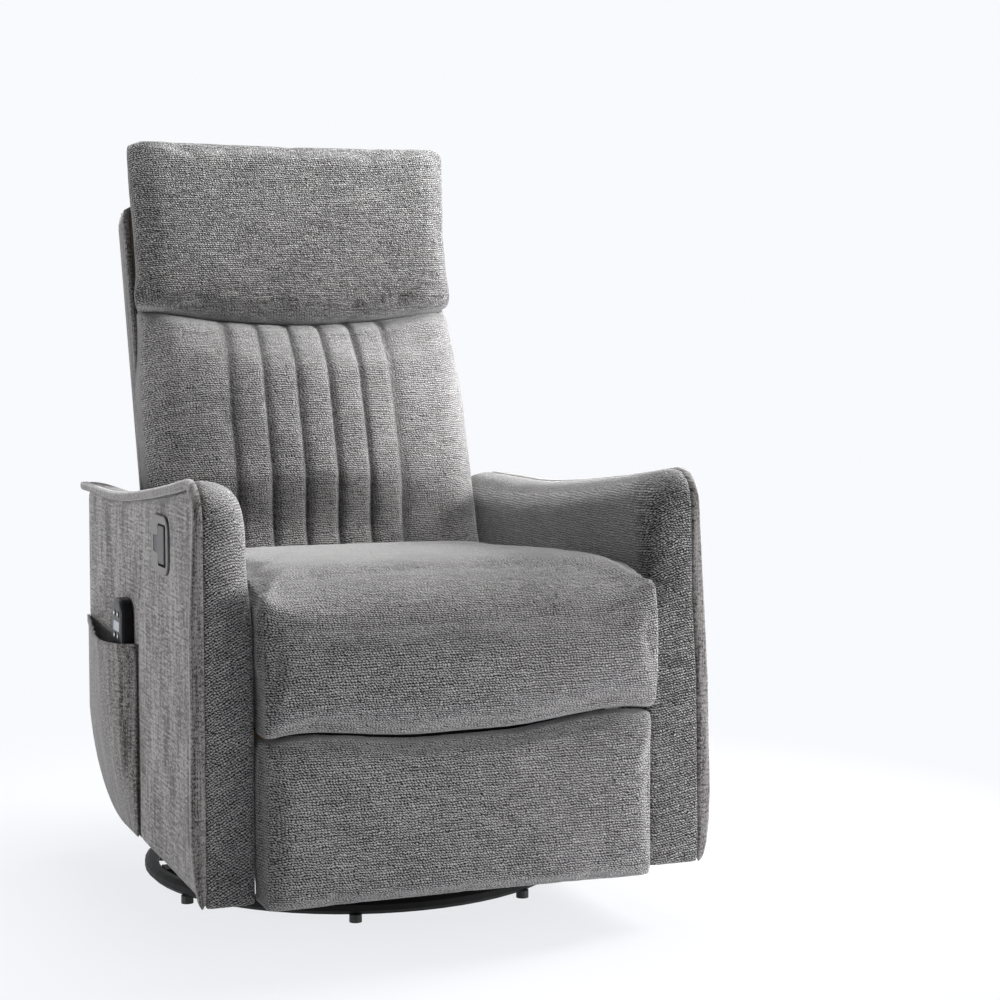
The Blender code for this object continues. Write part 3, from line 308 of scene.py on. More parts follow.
def skin(name, loops):
    """A closed body skinned over equal loops, with a cap at both ends."""
    build = bmesh.new()
    rows = [[build.verts.new(tuple(map(float, point))) for point in loop] for loop in loops]
    build.faces.new(rows[0])
    build.faces.new(rows[-1])
    for low, high in zip(rows, rows[1:]):
        for i in range(len(low)):
            j = (i + 1) % len(low)
            build.faces.new((low[i], low[j], high[j], high[i]))
    bmesh.ops.recalc_face_normals(build, faces=build.faces)
    mesh = bpy.data.meshes.new(name)
    build.to_mesh(mesh)
    build.free()
    piece = bpy.data.objects.new(name, mesh)
    bpy.context.collection.objects.link(piece)
    return piece


def settle(piece):
    """Makes what the modifiers show the piece's own mesh."""
    graph = bpy.context.evaluated_depsgraph_get()
    mesh = bpy.data.meshes.new_from_object(piece.evaluated_get(graph))
    piece.modifiers.clear()
    piece.data = mesh


def even_mesh(piece, size):
    """Gives a piece a new mesh of even faces."""
    step = piece.modifiers.new("even", "REMESH")
    step.mode = "VOXEL"
    step.voxel_size = size
    settle(piece)


def cut(piece, loops, way="DIFFERENCE"):
    """Takes a skinned body away from a piece, or joins the two."""
    tool = skin(piece.name + "_cut", loops)
    step = piece.modifiers.new("cut", "BOOLEAN")
    step.operation = way
    step.object = tool
    settle(piece)
    bpy.data.objects.remove(tool)


def relax(piece, rounds):
    """Draws every point towards the middle of its neighbours."""
    mesh = piece.data
    ends = np.empty(len(mesh.edges) * 2, int)
    mesh.edges.foreach_get("vertices", ends)
    a, b = ends.reshape(-1, 2).T
    points = coords(mesh)
    count = np.bincount(np.r_[a, b], minlength=len(points))[:, None]
    for _ in range(rounds):
        total = np.stack([np.bincount(np.r_[a, b], np.r_[points[b, k], points[a, k]], len(points))
                          for k in range(3)], 1)
        points += 0.5 * (total / count - points)
    set_coords(mesh, points)


def puff(piece, cap):
    """Blows a cushion up as cloth, and lets no point swell further than cap."""
    before = coords(piece.data)
    step = piece.modifiers.new("fill", "CLOTH")
    step.settings.use_pressure = True
    step.settings.uniform_pressure_force = PUFF_PRESSURE
    step.settings.effector_weights.gravity = 0
    step.collision_settings.use_collision = False
    scene = bpy.context.scene
    for number in range(1, PUFF_FRAMES + 1):
        scene.frame_set(number)
    blown = piece.evaluated_get(bpy.context.evaluated_depsgraph_get())
    move = coords(blown.data) - before
    piece.modifiers.remove(step)
    scene.frame_set(1)
    way = normals(piece.data)
    rise = (move * way).sum(1, keepdims=True)
    pull = move - way * rise
    rise = np.where(rise > 0, cap * np.tanh(rise / cap), EDGE_PULL * rise)
    set_coords(piece.data, before + way * rise + EDGE_PULL * pull)


def fit(piece, low, high, in_back=False):
    """Stretches a piece to fill a box, so that easing costs it no size."""
    points = coords(piece.data)
    if in_back:
        points = upright(points)
    least, most = points.min(0), points.max(0)
    points = np.array(low) + (points - least) * (np.array(high) - np.array(low)) / (most - least)
    if in_back:
        points = np.array([leaning(*point) for point in points])
    set_coords(piece.data, points)


def finer(piece):
    """Splits each face in four, and smooths."""
    step = piece.modifiers.new("finer", "SUBSURF")
    step.levels = step.render_levels = 1
    settle(piece)


def lay_cloth(piece, turn=0.0, in_back=False, tone=0.0, sideways=False, spread=1.0):
    """Gives each face corner its place on the cloth, in metres across and along, and a tone that holds the
    nap and, on some pieces, painted shade.
    """
    mesh = piece.data
    points = coords(mesh)
    face = np.empty(len(mesh.polygons) * 3)
    mesh.polygons.foreach_get("normal", face)
    face = face.reshape(-1, 3)
    if in_back:
        points = upright(points)
        face = upright(face + np.array((0, BACK_Y, BACK_Z)))
    count = np.empty(len(mesh.polygons), int)
    mesh.polygons.foreach_get("loop_total", count)
    corner = np.empty(len(mesh.loops), int)
    mesh.loops.foreach_get("vertex_index", corner)
    way = np.repeat(face, count, axis=0)
    x, y, z = points[corner].T
    side = sideways | (np.abs(way[:, 0]) > np.maximum(np.abs(way[:, 1]), np.abs(way[:, 2])))
    across = np.where(side, y + np.abs(x) * sideways, x) * spread
    # The cloth is laid from the front edge of each strip, over the top and under the bottom
    strips = np.linspace(x.min(), x.max(), CLOTH_STRIPS + 1)
    strip = np.clip(np.digitize(x, strips) - 1, 0, CLOTH_STRIPS - 1)
    front = np.full(CLOTH_STRIPS, y.max())
    np.minimum.at(front, strip, y)
    behind = y - np.interp(x, (strips[:-1] + strips[1:]) / 2, front)
    rear_face = way[:, 1] > REAR_FACING
    along = np.where(side | rear_face, z, z + np.where(way[:, 2] >= 0, behind, -behind))
    turn = np.where(side, 0.0, turn)
    shade = tone(x, y, z) if callable(tone) else np.full_like(across, tone)
    laid = np.stack([across * np.cos(turn) - along * np.sin(turn),
                     across * np.sin(turn) + along * np.cos(turn), shade], 1)
    layer = mesh.attributes.new("weave", "FLOAT_VECTOR", "CORNER")
    layer.data.foreach_set("vector", laid.ravel())


# Finishes

class Thread:
    """A shader socket that takes part in sums."""

    def __init__(self, tree, socket=None):
        self.tree, self.socket = tree, socket

    def node(self, kind, settings, sockets, out=0):
        made = self.tree.nodes.new(kind)
        for key, value in settings.items():
            setattr(made, key, value)
        for key, value in sockets.items():
            if isinstance(value, Thread):
                self.tree.links.new(value.socket, made.inputs[key])
            else:
                made.inputs[key].default_value = value
        return Thread(self.tree, made.outputs[out])

    def pick(self, out):
        """Another output of the same node."""
        return Thread(self.tree, self.socket.node.outputs[out])

    def sum(self, operation, *values):
        """The result of one sum on values."""
        return self.node("ShaderNodeMath", {"operation": operation}, dict(enumerate(values)))

    def __add__(self, other):
        return self.sum("ADD", self, other)

    def __sub__(self, other):
        return self.sum("SUBTRACT", self, other)

    def __rsub__(self, other):
        return self.sum("SUBTRACT", other, self)

    def __mul__(self, other):
        return self.sum("MULTIPLY", self, other)

    __radd__, __rmul__ = __add__, __mul__

    def between(self, low, high):
        """Rises from 0 at low to 1 at high, and stays within them."""
        return self.node("ShaderNodeMapRange", {}, {0: self, 1: low, 2: high})

    def tint(self, dark, light):
        """A colour from dark at 0 to light at 1."""
        return self.node("ShaderNodeMix", {"data_type": "RGBA"},
                         {0: self, 6: (*dark, 1), 7: (*light, 1)}, out=2)

    def spot(self, x, y, z=0.0):
        """A place from three values."""
        return self.node("ShaderNodeCombineXYZ", {}, {0: x, 1: y, 2: z})

    def grain(self, place, scale, detail=2.0):
        """Soft noise, with scale cells to one unit of place."""
        return self.node("ShaderNodeTexNoise", {}, {"Vector": place, "Scale": scale, "Detail": detail})


FINISH = {}


def finish(name, pattern, bump, depth, rough=0.5, **constants):
    """A material from a pattern's colour, height and roughness, and plain values for the rest."""
    material = bpy.data.materials.new(name)
    material.use_nodes = True
    tree = material.node_tree
    shader = tree.nodes["Principled BSDF"]
    start = Thread(tree)
    made = pattern(start)
    tree.links.new(made["colour"].socket, shader.inputs["Base Color"])
    if "rough" in made:
        tree.links.new(made["rough"].socket, shader.inputs["Roughness"])
    else:
        shader.inputs["Roughness"].default_value = rough
    lump = start.node("ShaderNodeBump", {},
                      {"Strength": bump, "Distance": depth, "Height": made["height"]})
    tree.links.new(lump.socket, shader.inputs["Normal"])
    for key, value in constants.items():
        shader.inputs[key.replace("_", " ")].default_value = value
    FINISH[name] = material


def on_cloth(start):
    """The place on the cloth, its parts across and along, and the tone, which holds the nap and painted
    shade.
    """
    place = start.node("ShaderNodeAttribute", {"attribute_name": "weave"}, {}, out="Vector")
    split = start.node("ShaderNodeSeparateXYZ", {}, {0: place})
    return place, split, split.pick(1), split.pick(2)


def surface(start):
    """The place on a piece, in metres."""
    return start.node("ShaderNodeTexCoord", {}, {}, out="Object")


def in_box(start):
    """Shares of a piece's own box in x, y and z."""
    box = start.node("ShaderNodeTexCoord", {}, {}, out="Generated")
    split = start.node("ShaderNodeSeparateXYZ", {}, {0: box})
    return split, split.pick(1), split.pick(2)


def chenille(start):
    """Level rows of slanted knots, each with its own shade, crossed by long pale slubs."""
    place, across, along, tone = on_cloth(start)
    wander = (start.grain(place, 70.0) - 0.5) * 1.6 + (start.grain(place, 230.0) - 0.5) * 0.9
    row = along * (1 / KNOT_UP) + wander
    level = row.sum("FLOOR", row)
    shift = start.node("ShaderNodeTexWhiteNoise", {"noise_dimensions": "1D"}, {"W": level}, out="Value")
    sway = start.grain(start.spot(across * 110.0, along * 300.0), 1.0) - 0.5
    column = across * (1 / KNOT_ACROSS) + shift * 5.0 + sway * 2.2
    knot = column.sum("FLOOR", column)
    up = row - level - 0.5
    aside = column - knot - 0.5 + up * 0.8
    dome = 1 - (aside * aside * 3.4 + up * up * 3.4)
    height = dome.between(0.0, 1.0)
    shade = start.node("ShaderNodeTexWhiteNoise", {"noise_dimensions": "2D"},
                       {"Vector": start.spot(knot, level)}, out="Value")
    slub = start.grain(start.spot(across * 20.0, along * 260.0), 1.0, 3.0)
    streak = slub.between(0.54, 0.72)
    patch = start.grain(place, 13.0)
    fuzz = start.grain(place, 900.0, 1.0)
    tuft = start.grain(start.spot(across * 150.0, along * 60.0), 1.0)
    light = ((height - 0.40) * (shade * 0.95 + 0.90) + streak * 0.22 + (patch - 0.5) * 0.40
             + (fuzz - 0.5) * 1.20 + (slub - 0.5) * 0.55 + (tuft - 0.5) * 0.50 + tone + 0.24)
    return {"colour": light.tint(CHENILLE_DARK, CHENILLE_LIGHT),
            "height": height * (shade * 0.5 + 0.5) + fuzz * 0.4}


def brushed(start):
    """A short nap, brushed downwards over fine level threads, with soft upright marks."""
    _, across, along, tone = on_cloth(start)
    mark = start.grain(start.spot(across * 16.0, along * 7.0), 1.0, 3.0).between(0.3, 0.7)
    weft = start.grain(start.spot(across * 21.0, along * 290.0), 1.0).between(0.26, 0.74)
    hair = start.grain(start.spot(across * 90.0, along * 12.0 + across * 3.0), 1.0).between(0.26, 0.74)
    speck = start.grain(start.spot(across * 112.0, along * 290.0), 1.0, 1.0).between(0.22, 0.78)
    light = mark * 0.55 + weft * 0.85 + hair * 0.70 + speck * 1.20 - 1.17 + tone
    return {"colour": light.tint(NAP_DARK, NAP_LIGHT), "height": weft * 0.6 + speck * 0.5}


def lining(start):
    """Thin black pressed cloth."""
    pressed = start.grain(surface(start), 600.0, 3.0)
    return {"colour": pressed.tint((0.006, 0.006, 0.006), (0.020, 0.020, 0.020)), "height": pressed}


def coated_steel(start):
    """Black powder coat with a little dust."""
    peel = start.grain(surface(start), 420.0)
    dust = start.grain(surface(start), 9.0, 4.0)
    return {"colour": dust.tint((0.004, 0.004, 0.0045), (0.011, 0.011, 0.0115)),
            "rough": dust * 0.15 + 0.50, "height": peel}


def plated_steel(start):
    """Zinc with a drawn grain."""
    split = start.node("ShaderNodeSeparateXYZ", {}, {0: surface(start)})
    brush = start.grain(start.spot(split * 60.0, split.pick(1) * 60.0, split.pick(2) * 900.0), 1.0, 3.0)
    cloud = start.grain(surface(start), 24.0)
    return {"colour": (brush * 0.5 + cloud * 0.5).tint((0.34, 0.34, 0.33), (0.52, 0.52, 0.50)),
            "rough": cloud * 0.2 + 0.25, "height": brush}


def oiled_wire(start):
    """Bare spring wire, clouded with oil."""
    cloud = start.grain(surface(start), 60.0, 3.0)
    return {"colour": cloud.tint((0.13, 0.13, 0.135), (0.27, 0.27, 0.265)), "rough": cloud * 0.25 + 0.22,
            "height": cloud}


def plywood(start):
    """Pale wood with its grain along y."""
    split = start.node("ShaderNodeSeparateXYZ", {}, {0: surface(start)})
    grain = start.grain(start.spot(split * 90.0, split.pick(1) * 14.0, split.pick(2) * 90.0), 1.0, 5.0)
    ring = start.grain(start.spot(split * 12.0, split.pick(1) * 2.0, split.pick(2) * 12.0), 1.0, 2.0)
    return {"colour": (grain * 0.6 + ring * 0.6 - 0.1).tint((0.36, 0.23, 0.12), (0.60, 0.43, 0.26)),
            "rough": grain * 0.2 + 0.55, "height": grain}


def moulded(dark, light, rough):
    """Finely pitted plastic between two shades."""
    def pattern(start):
        grit = start.grain(surface(start), 1500.0, 1.0)
        cloud = start.grain(surface(start), 30.0)
        return {"colour": (grit * 0.5 + cloud * 0.5).tint(dark, light),
                "rough": cloud * 0.15 + rough, "height": grit}
    return pattern


def gloss_black(start):
    """Polished black plastic with faint smears."""
    smear = start.grain(surface(start), 26.0, 3.0)
    return {"colour": smear.tint((0.006, 0.006, 0.007), (0.012, 0.012, 0.013)), "rough": smear * 0.16 + 0.06,
            "height": smear}


def handset_case(start):
    """Black, with a pale blank window that slants across its face."""
    smear = start.grain(surface(start), 26.0, 3.0)
    deep, along, up = in_box(start)
    aside = along + up * 0.5
    window = (aside.between(0.595, 0.610) * aside.between(1.150, 1.135) * up.between(0.660, 0.665)
              * up.between(0.765, 0.760) * deep.between(0.03, 0.01))
    return {"colour": (window * 0.9 + smear * 0.02).tint((0.004, 0.004, 0.005), (0.34, 0.36, 0.40)),
            "rough": smear * 0.16 + 0.24, "height": smear}


def key_cap(start):
    """A dark key with a pale round mark."""
    cloud = start.grain(surface(start), 240.0)
    _, along, up = in_box(start)
    aside, rise = along - 0.5, up - 0.5
    mark = (aside * aside * 1.9 + rise * rise).between(0.10, 0.06)
    return {"colour": (mark * 0.9 + cloud * 0.1).tint((0.010, 0.010, 0.011), (0.80, 0.81, 0.82)),
            "rough": cloud * 0.2 + 0.3, "height": cloud}


def rubber(start):
    """Matt black rubber."""
    grit = start.grain(surface(start), 700.0)
    return {"colour": grit.tint((0.010, 0.010, 0.010), (0.026, 0.026, 0.026)), "rough": grit * 0.2 + 0.6,
            "height": grit}


SHEEN = {"Sheen_Weight": 0.55, "Sheen_Roughness": 0.4, "Specular_IOR_Level": 0.15}
BEZEL_PLASTIC = moulded((0.110, 0.107, 0.108), (0.205, 0.200, 0.200), 0.45)
GREY_PLASTIC = moulded((0.045, 0.044, 0.046), (0.085, 0.083, 0.085), 0.38)
finish("chenille", chenille, bump=0.75, depth=0.0016, rough=0.92, **SHEEN)
finish("brushed_cloth", brushed, bump=0.35, depth=0.0006, rough=0.9, **SHEEN)
finish("lining", lining, bump=0.3, depth=0.0004, rough=0.95)
finish("black_steel", coated_steel, bump=0.05, depth=0.0004, Specular_IOR_Level=0.12)
finish("zinc_steel", plated_steel, bump=0.08, depth=0.0003, Metallic=1.0)
finish("spring_steel", oiled_wire, bump=0.1, depth=0.0003, Metallic=1.0)
finish("plywood", plywood, bump=0.15, depth=0.0005)
finish("bezel_plastic", BEZEL_PLASTIC, bump=0.1, depth=0.0002, Specular_IOR_Level=0.2)
finish("grey_plastic", GREY_PLASTIC, bump=0.1, depth=0.0002, Specular_IOR_Level=0.25)
finish("gloss_black", gloss_black, bump=0.01, depth=0.0002, Coat_Weight=0.6)
finish("handset_case", handset_case, bump=0.01, depth=0.0002, Specular_IOR_Level=0.1)
finish("key_white", key_cap, bump=0.05, depth=0.0001)
finish("black_rubber", rubber, bump=0.2, depth=0.0003)


def dress(piece, body, slot, *replaced, fill=None, look=None):
    """Gives a piece its finish, body and slot, and the solids that it stands for; fill is not used."""
    piece.data.materials.clear()
    piece.data.materials.append(FINISH[look or slot])
    piece.data.shade_smooth()
    if body:
        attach(piece, body)
    if replaced:
        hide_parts(*replaced)


# Arms

def arm_edge(draw, rear_draw=None):
    """An arm's front, swooping top and rear end from the side, drawn in by draw."""
    front, crest, low = ARM_FRONT + draw, ARM_TOP_FRONT - draw, ARM_TOP_REAR - draw
    rear = ARM_REAR - (draw if rear_draw is None else rear_draw)
    points = [(front, ARM_BOTTOM)]
    for turn in quarter(12):
        points.append((front + ARM_CORNER * (1 - cos(turn)), crest - ARM_CORNER * (1 - sin(turn))))
    start = front + ARM_CORNER
    for i in range(1, 17):
        t = i / 16
        swoop = 1 - (1 - t) ** SWOOP_EASE
        points.append((start + (SWOOP_END - start) * t, crest + (low - crest) * swoop))
    points.append((rear, low))
    return points


def arm_tail(draw):
    """The curve under an arm's rear end, drawn in by draw."""
    points = []
    for turn in quarter(12):
        points.append((TAIL_START + (ARM_REAR - draw - TAIL_START) * cos(turn),
                       TAIL_TOP + (ARM_BOTTOM + draw - TAIL_TOP) * sin(turn)))
    return points


def bow(side, y, z):
    """How far the right arm's outer face swells, fullest low at the front."""
    if side < 0:
        return 0.0
    return np.interp(z, BOW_LEVELS, BOW_OUT) * (1 - BOW_FADE * smooth((y - ARM_FRONT) / BOW_RUN))


def swell(side, points):
    """Pushes an arm's outer parts out by its bow, fully from the panel's face on."""
    for i, (x, y, z) in enumerate(points):
        share = smooth((abs(x) - BOW_START) / (PANEL_OUTER - BOW_START))
        points[i, 0] += side * bow(side, y, z) * share
    return points


def cut_for_lever(piece, back):
    """Opens a cover on the left for the lever's cup, from back outwards."""
    cup = rounded(CUP_LENGTH, CUP_HEIGHT, CUP_CORNER, (LEVER_Y, LEVER_Z))
    cut(piece, slab(cup, -back, -FLANGE_OUTER))


def make_arm_pad(name, side, turn, tone):
    """An arm's cover, rolled over the inner edge and cut out for the board and the side panel."""
    column = ARM_FRONT + ARM_WRAP
    foot = [(ARM_REAR, TAIL_TOP), (column, TAIL_TOP), (column, ARM_BOTTOM)]
    loops = []
    for roll in quarter(12):
        draw = ARM_ROLL * (1 - sin(roll)) ** ROLL_EASE
        edge = []
        for y, z in resample(arm_edge(draw, draw * ROLL_REAR), EDGE_POINTS):
            low = 1 - smooth((z - SEAT_CREST + ROLL_LOW) / ROLL_FADE)
            near = 1 - smooth((y - ARM_FRONT - draw) / ARM_CORNER)
            edge.append((y - draw * ROLL_FILL * low * near, z))
        loops += slab(edge + foot, side * (ARM_INNER + (ARM_RIM - ARM_INNER) * (1 - cos(roll))))
    piece = skin("arm_cover_" + name, loops)
    board = arm_edge(ARM_WRAP - CLEARANCE) + arm_tail(0.0)
    cut(piece, slab(board, side * (BOARD_INNER - CLEARANCE), side * FLANGE_OUTER))
    past = ARM_REAR + PANEL_PAST
    panel = arm_edge(RIM_WIDTH)
    panel += [(past, ARM_TOP_REAR - RIM_WIDTH), (past, 0.0), (ARM_FRONT + RIM_WIDTH, 0.0)]
    cut(piece, slab(panel, side * (PANEL_INNER - PANEL_FIT), side * FLANGE_OUTER))
    if side < 0:
        cut_for_lever(piece, CUP_BACK - PANEL_FIT)
    even_mesh(piece, FINE_MESH)
    relax(piece, 4)
    set_coords(piece.data, swell(side, coords(piece.data)))
    lay_cloth(piece, turn=radians(turn), tone=tone)
    dress(piece, "chair", "chenille", "arm_pad_" + name, fill=0.85)


def side_seam_y(z):
    """A side's upright seam, which slants from under the arm's top to the pocket's front edge."""
    return POCKET_FRONT - SEAM_AHEAD - SEAM_SLANT * smooth((z - POCKET_MOUTH) / SEAM_RISE)


def make_side_panel(name, side):
    """A side's cover, with its seam and the cloth drawn up to the fold at the front."""
    outline = arm_edge(RIM_WIDTH + PANEL_FIT, PANEL_INSET) + arm_tail(PANEL_INSET)
    piece = skin("side_cover_" + name, slab(outline, side * PANEL_INNER, side * PANEL_OUTER))
    even_mesh(piece, PLAIN_MESH)
    relax(piece, 1)
    if side < 0:
        cut_for_lever(piece, BOARD_INNER)
    points = coords(piece.data)
    outer = points[:, 0] * side > (PANEL_INNER + PANEL_OUTER) / 2
    for i in np.nonzero(outer)[0]:
        x, y, z = points[i]
        groove = SEAM_DEPTH * np.exp(-((y - side_seam_y(z)) / SEAM_WIDTH) ** 2)
        soft = PANEL_WAVE * (noise.noise(Vector((y * 9, z * 5, side * 3.1))) - 0.6)
        fold = FOLD_RISE * np.interp(z, PROUD_LEVELS, PROUD_OUT) * smooth((FOLD_TOP - z) / FOLD_FADE)
        fold *= smooth(1 - (y - ARM_FRONT - RIM_WIDTH) / FOLD_REACH) ** 2
        points[i, 0] = side * (min(abs(x), PANEL_OUTER) + bow(side, y, z) - groove + soft + fold)
    set_coords(piece.data, points)
    lay_cloth(piece)
    dress(piece, "chair", "brushed_cloth", "side_panel_" + name, fill=0.9)


def make_flange(name, side):
    """The soft fold that stands out along an arm's front and top edge."""
    path = resample(arm_edge(FLANGE_WIDTH / 2 - FLANGE_TUCK, -FLANGE_PAST), FLANGE_STATIONS)
    loops = []
    for i, ((y, z), out) in enumerate(with_square(path)):
        thick = np.interp(z, PROUD_LEVELS, PROUD_OUT) + FLANGE_SINK
        ending = max(0.0, 1 - min(i, len(path) - 1 - i) / FLANGE_END_STATIONS)
        close = sqrt(max(0.0, 1 - ending ** 2)) * (1 - FLANGE_END) + FLANGE_END
        middle = ARM_RIM - FLANGE_SINK + thick / 2 + bow(side, y, z)
        loop = []
        for k in range(FLANGE_SIDES):
            turn = 2 * pi * k / FLANGE_SIDES
            a, b = (np.sign(v) * abs(v) ** FLANGE_SQUARE for v in (cos(turn), sin(turn)))
            wave = 1 + FLANGE_WAVE * noise.noise(Vector((i * 0.17, k * 0.3, side)))
            reach = FLANGE_WIDTH / 2 * a * close * wave
            loop.append((side * (middle + thick / 2 * b * close), y + out[0] * reach, z + out[1] * reach))
        loops.append(loop)
    piece = skin("flange_roll_" + name, loops)
    # Painted highlight: the fold's cloth is toned a little lighter than the side panel beside it
    lay_cloth(piece, tone=0.05, sideways=True, spread=6.0)
    dress(piece, "chair", "brushed_cloth", fill=0.8)


# Each arm's nap is turned and given a tone; the right arm's much darker tone is painted shade, standing in
# for the shade on its inner face
for name, side, nap_turn, nap_tone_and_shade in (("left", -1, -28, -0.02), ("right", 1, -10, -0.19)):
    make_arm_pad(name, side, nap_turn, nap_tone_and_shade)
    make_side_panel(name, side)
    make_flange(name, side)


# Seat

def back_front_y(z):
    """Where the back's front stands at a height."""
    w = (z - BACK_Z) / cos(BACK_LEAN)
    return BACK_Y - PAD_FRONT / cos(BACK_LEAN) + w * sin(BACK_LEAN)


def lip_up(x):
    """Height of the seat's lower front edge: lowest near the middle, and rising to the right."""
    return (LIP_MIDDLE + LIP_RISE * smooth((abs(x) - LIP_FLAT) / LIP_BEND)
            - LIP_DIP * smooth((abs(x) - LIP_END) / LIP_EDGE) + x / LIP_RUN)


def make_seat():
    """The seat's cover: a round nose that squares off at both sides, over a lip that hangs in front."""
    front = SEAT_FRONT + SEAT_EASE
    loops = []
    for s in crowded(28):
        square = abs(s) ** 4
        lip = lip_up(s * SEAT_HALF)
        crest = SEAT_CREST - SEAT_DRAW - SEAT_EASE * square
        low = SEAT_LOW - SEAT_EASE - SEAT_DRAW * square
        points = [(back_front_y(SEAT_BASE) - SEAT_DRAW, SEAT_BASE), (UNDER_FRONT, SEAT_BASE),
                  (LIP_REAR, SEAT_BASE - UNDER_STEP)]
        points += [(LIP_REAR + back, lip + rise) for back, rise in LIP_HEEL]
        points += [(front + back, lip + rise) for back, rise in LIP_TOE]
        for turn in quarter(12):
            y, z = front + NOSE_DEEP - NOSE_DEEP * cos(turn), crest - NOSE_TALL + NOSE_TALL * sin(turn)
            drop = BROW_DROP * (1 - smooth((y - front) / BROW_RUN)) + BROW_EDGE
            points.append((y, z + (max(z, crest - drop) - z) * square))
        rear = back_front_y(low) - SEAT_DRAW
        for k in range(1, 13):
            t = k / 12
            points.append((front + NOSE_DEEP + (rear - front - NOSE_DEEP) * t,
                           crest + (low - crest) * smooth(t)))
        points.append(points[0])
        loops += slab(resample(points, SEAT_POINTS)[:-1], s * SEAT_HALF)
    piece = skin("seat_cover", loops)
    even_mesh(piece, FINE_MESH)
    relax(piece, 2)
    puff(piece, SEAT_PUFF)
    fit(piece, (-SEAT_BULGE, SEAT_FRONT - SEAT_EASE, lip_up(0) - LIP_SAG),
        (SEAT_BULGE, SEAT_REAR, SEAT_CREST + SEAT_CROWN))
    points = coords(piece.data)
    # Between the arms the cover keeps clear of them, and in front of them it bellies out to the right
    inside = points[:, 1] > ARM_FRONT + SEAT_LAP
    belly = np.sin(pi * np.clip((points[:, 2] - BELLY_LOW) / BELLY_TALL, 0, 1))
    limit = np.where(inside, ARM_INNER - SEAT_FIT, ARM_INNER + SEAT_LAP + BELLY_OUT * belly)
    right = ~inside & (points[:, 0] > 0)
    points[:, 0] *= np.where(right, BELLY_STRETCH + BELLY_FULL * belly, 1.0)
    points[:, 0] = np.clip(points[:, 0], -np.minimum(limit, BELLY_LEFT), limit)
    under = (points[:, 1] > LIP_REAR) & (points[:, 2] < SEAT_BASE + UNDER_TALL)
    points[under, 2] = np.maximum(points[under, 2], SEAT_BASE)
    points[:, 1] = np.minimum(points[:, 1], back_front_y(points[:, 2]) - BACK_GAP)
    set_coords(piece.data, points)
    finer(piece)
    lay_cloth(piece)
    dress(piece, "seat", "chenille", "seat_cushion", fill=0.75)


make_seat()


# Footrest

def make_footrest():
    """The footrest's cover, shaped to the seat's lip above it, with cheeks that wrap back at both sides."""
    loops = []
    for s in crowded(24):
        fill = FOOTREST_SIDE + (1 - FOOTREST_SIDE) * sqrt(1 - s ** 14)
        top = lip_up(s * FOOTREST_HALF) - LIP_GAP
        rear = FOOTREST_WRAP if abs(s) > CHEEK_SHARE else FOOTREST_REAR
        points = [(rear, FOOTREST_BOTTOM + FOOTREST_HEEL), (rear, top)]
        for t in crowded(24):
            z = (top + FOOTREST_BOTTOM) / 2 - (top - FOOTREST_BOTTOM) / 2 * t
            crown = FOOTREST_EDGE + (1 - FOOTREST_EDGE) * sqrt(1 - abs(t) ** 10)
            deep = FOOTREST_FRONT + FOOTREST_EASE - FOOTREST_REAR
            points.append((FOOTREST_REAR + deep * crown * fill, z))
        points.append(points[0])
        loops += slab(resample(points, FOOTREST_POINTS)[:-1], s * FOOTREST_HALF)
    piece = skin("footrest_cover", loops)
    even_mesh(piece, FINE_MESH)
    relax(piece, 2)
    puff(piece, FOOTREST_PUFF)
    most = max(lip_up(x) for x in np.linspace(0, FOOTREST_HALF, 40)) - LIP_GAP
    fit(piece, (-FOOTREST_BULGE, FOOTREST_FRONT - FOOTREST_PROUD, FOOTREST_BOTTOM - FOOTREST_EASE),
        (FOOTREST_BULGE, FOOTREST_WRAP, most + FOOTREST_CROWN))
    points = coords(piece.data)
    rear = np.where(np.abs(points[:, 0]) > FOOTREST_CHEEK, FOOTREST_WRAP, FOOTREST_REAR)
    points[:, 1] = np.minimum(points[:, 1], rear)
    points[:, 0] = np.clip(points[:, 0], -FOOTREST_LIMIT, FOOTREST_LIMIT)
    top = np.array([lip_up(x) for x in points[:, 0]]) - LIP_GAP
    points[:, 2] = np.clip(points[:, 2], FOOTREST_BOTTOM - FOOTREST_HEEL, top)
    set_coords(piece.data, points)
    finer(piece)
    lay_cloth(piece)
    dress(piece, "footrest", "chenille", "footrest_pad", fill=0.75)


def make_shade_lining():
    """Black cloth that hangs behind the seat's lip from the front rail, a dark sheet that fills the gap
    between the lip and the footrest with painted shade.
    """
    loops = []
    for i in range(31):
        x = -LINING_WIDTH / 2 + LINING_WIDTH * i / 30
        near, far = [], []
        for k in range(9):
            z = LINING_LOW + LINING_TALL * k / 8
            y = LINING_Y - LINING_WAVE * sin(pi * k / 8) * noise.noise(Vector((x * 14, 3.3, 0.5)))
            near.append((x, y - LINING_HALF, z))
            far.append((x, y + LINING_HALF, z))
        loops.append(near + far[::-1])
    piece = skin("lip_shade_lining", loops)
    dress(piece, "seat", "brushed_cloth", look="lining")


make_footrest()
make_shade_lining()


# Back

def seam_up(x):
    """Height of the seam under the head cushion, which sags in the middle."""
    return SEAM_UP + SEAM_LIFT - SEAM_SAG * (1 - (x / PAD_HALF) ** 2)


def head_painted_shade(x, u, w):
    """Painted shade: the cover is painted darker towards the seam under the head cushion, and lighter
    towards its top.
    """
    return HEAD_SHADE_DEEP + HEAD_SHADE_LIFT * np.clip((w - SEAM_UP) / (HEAD_TOP - SEAM_UP), 0, 1)


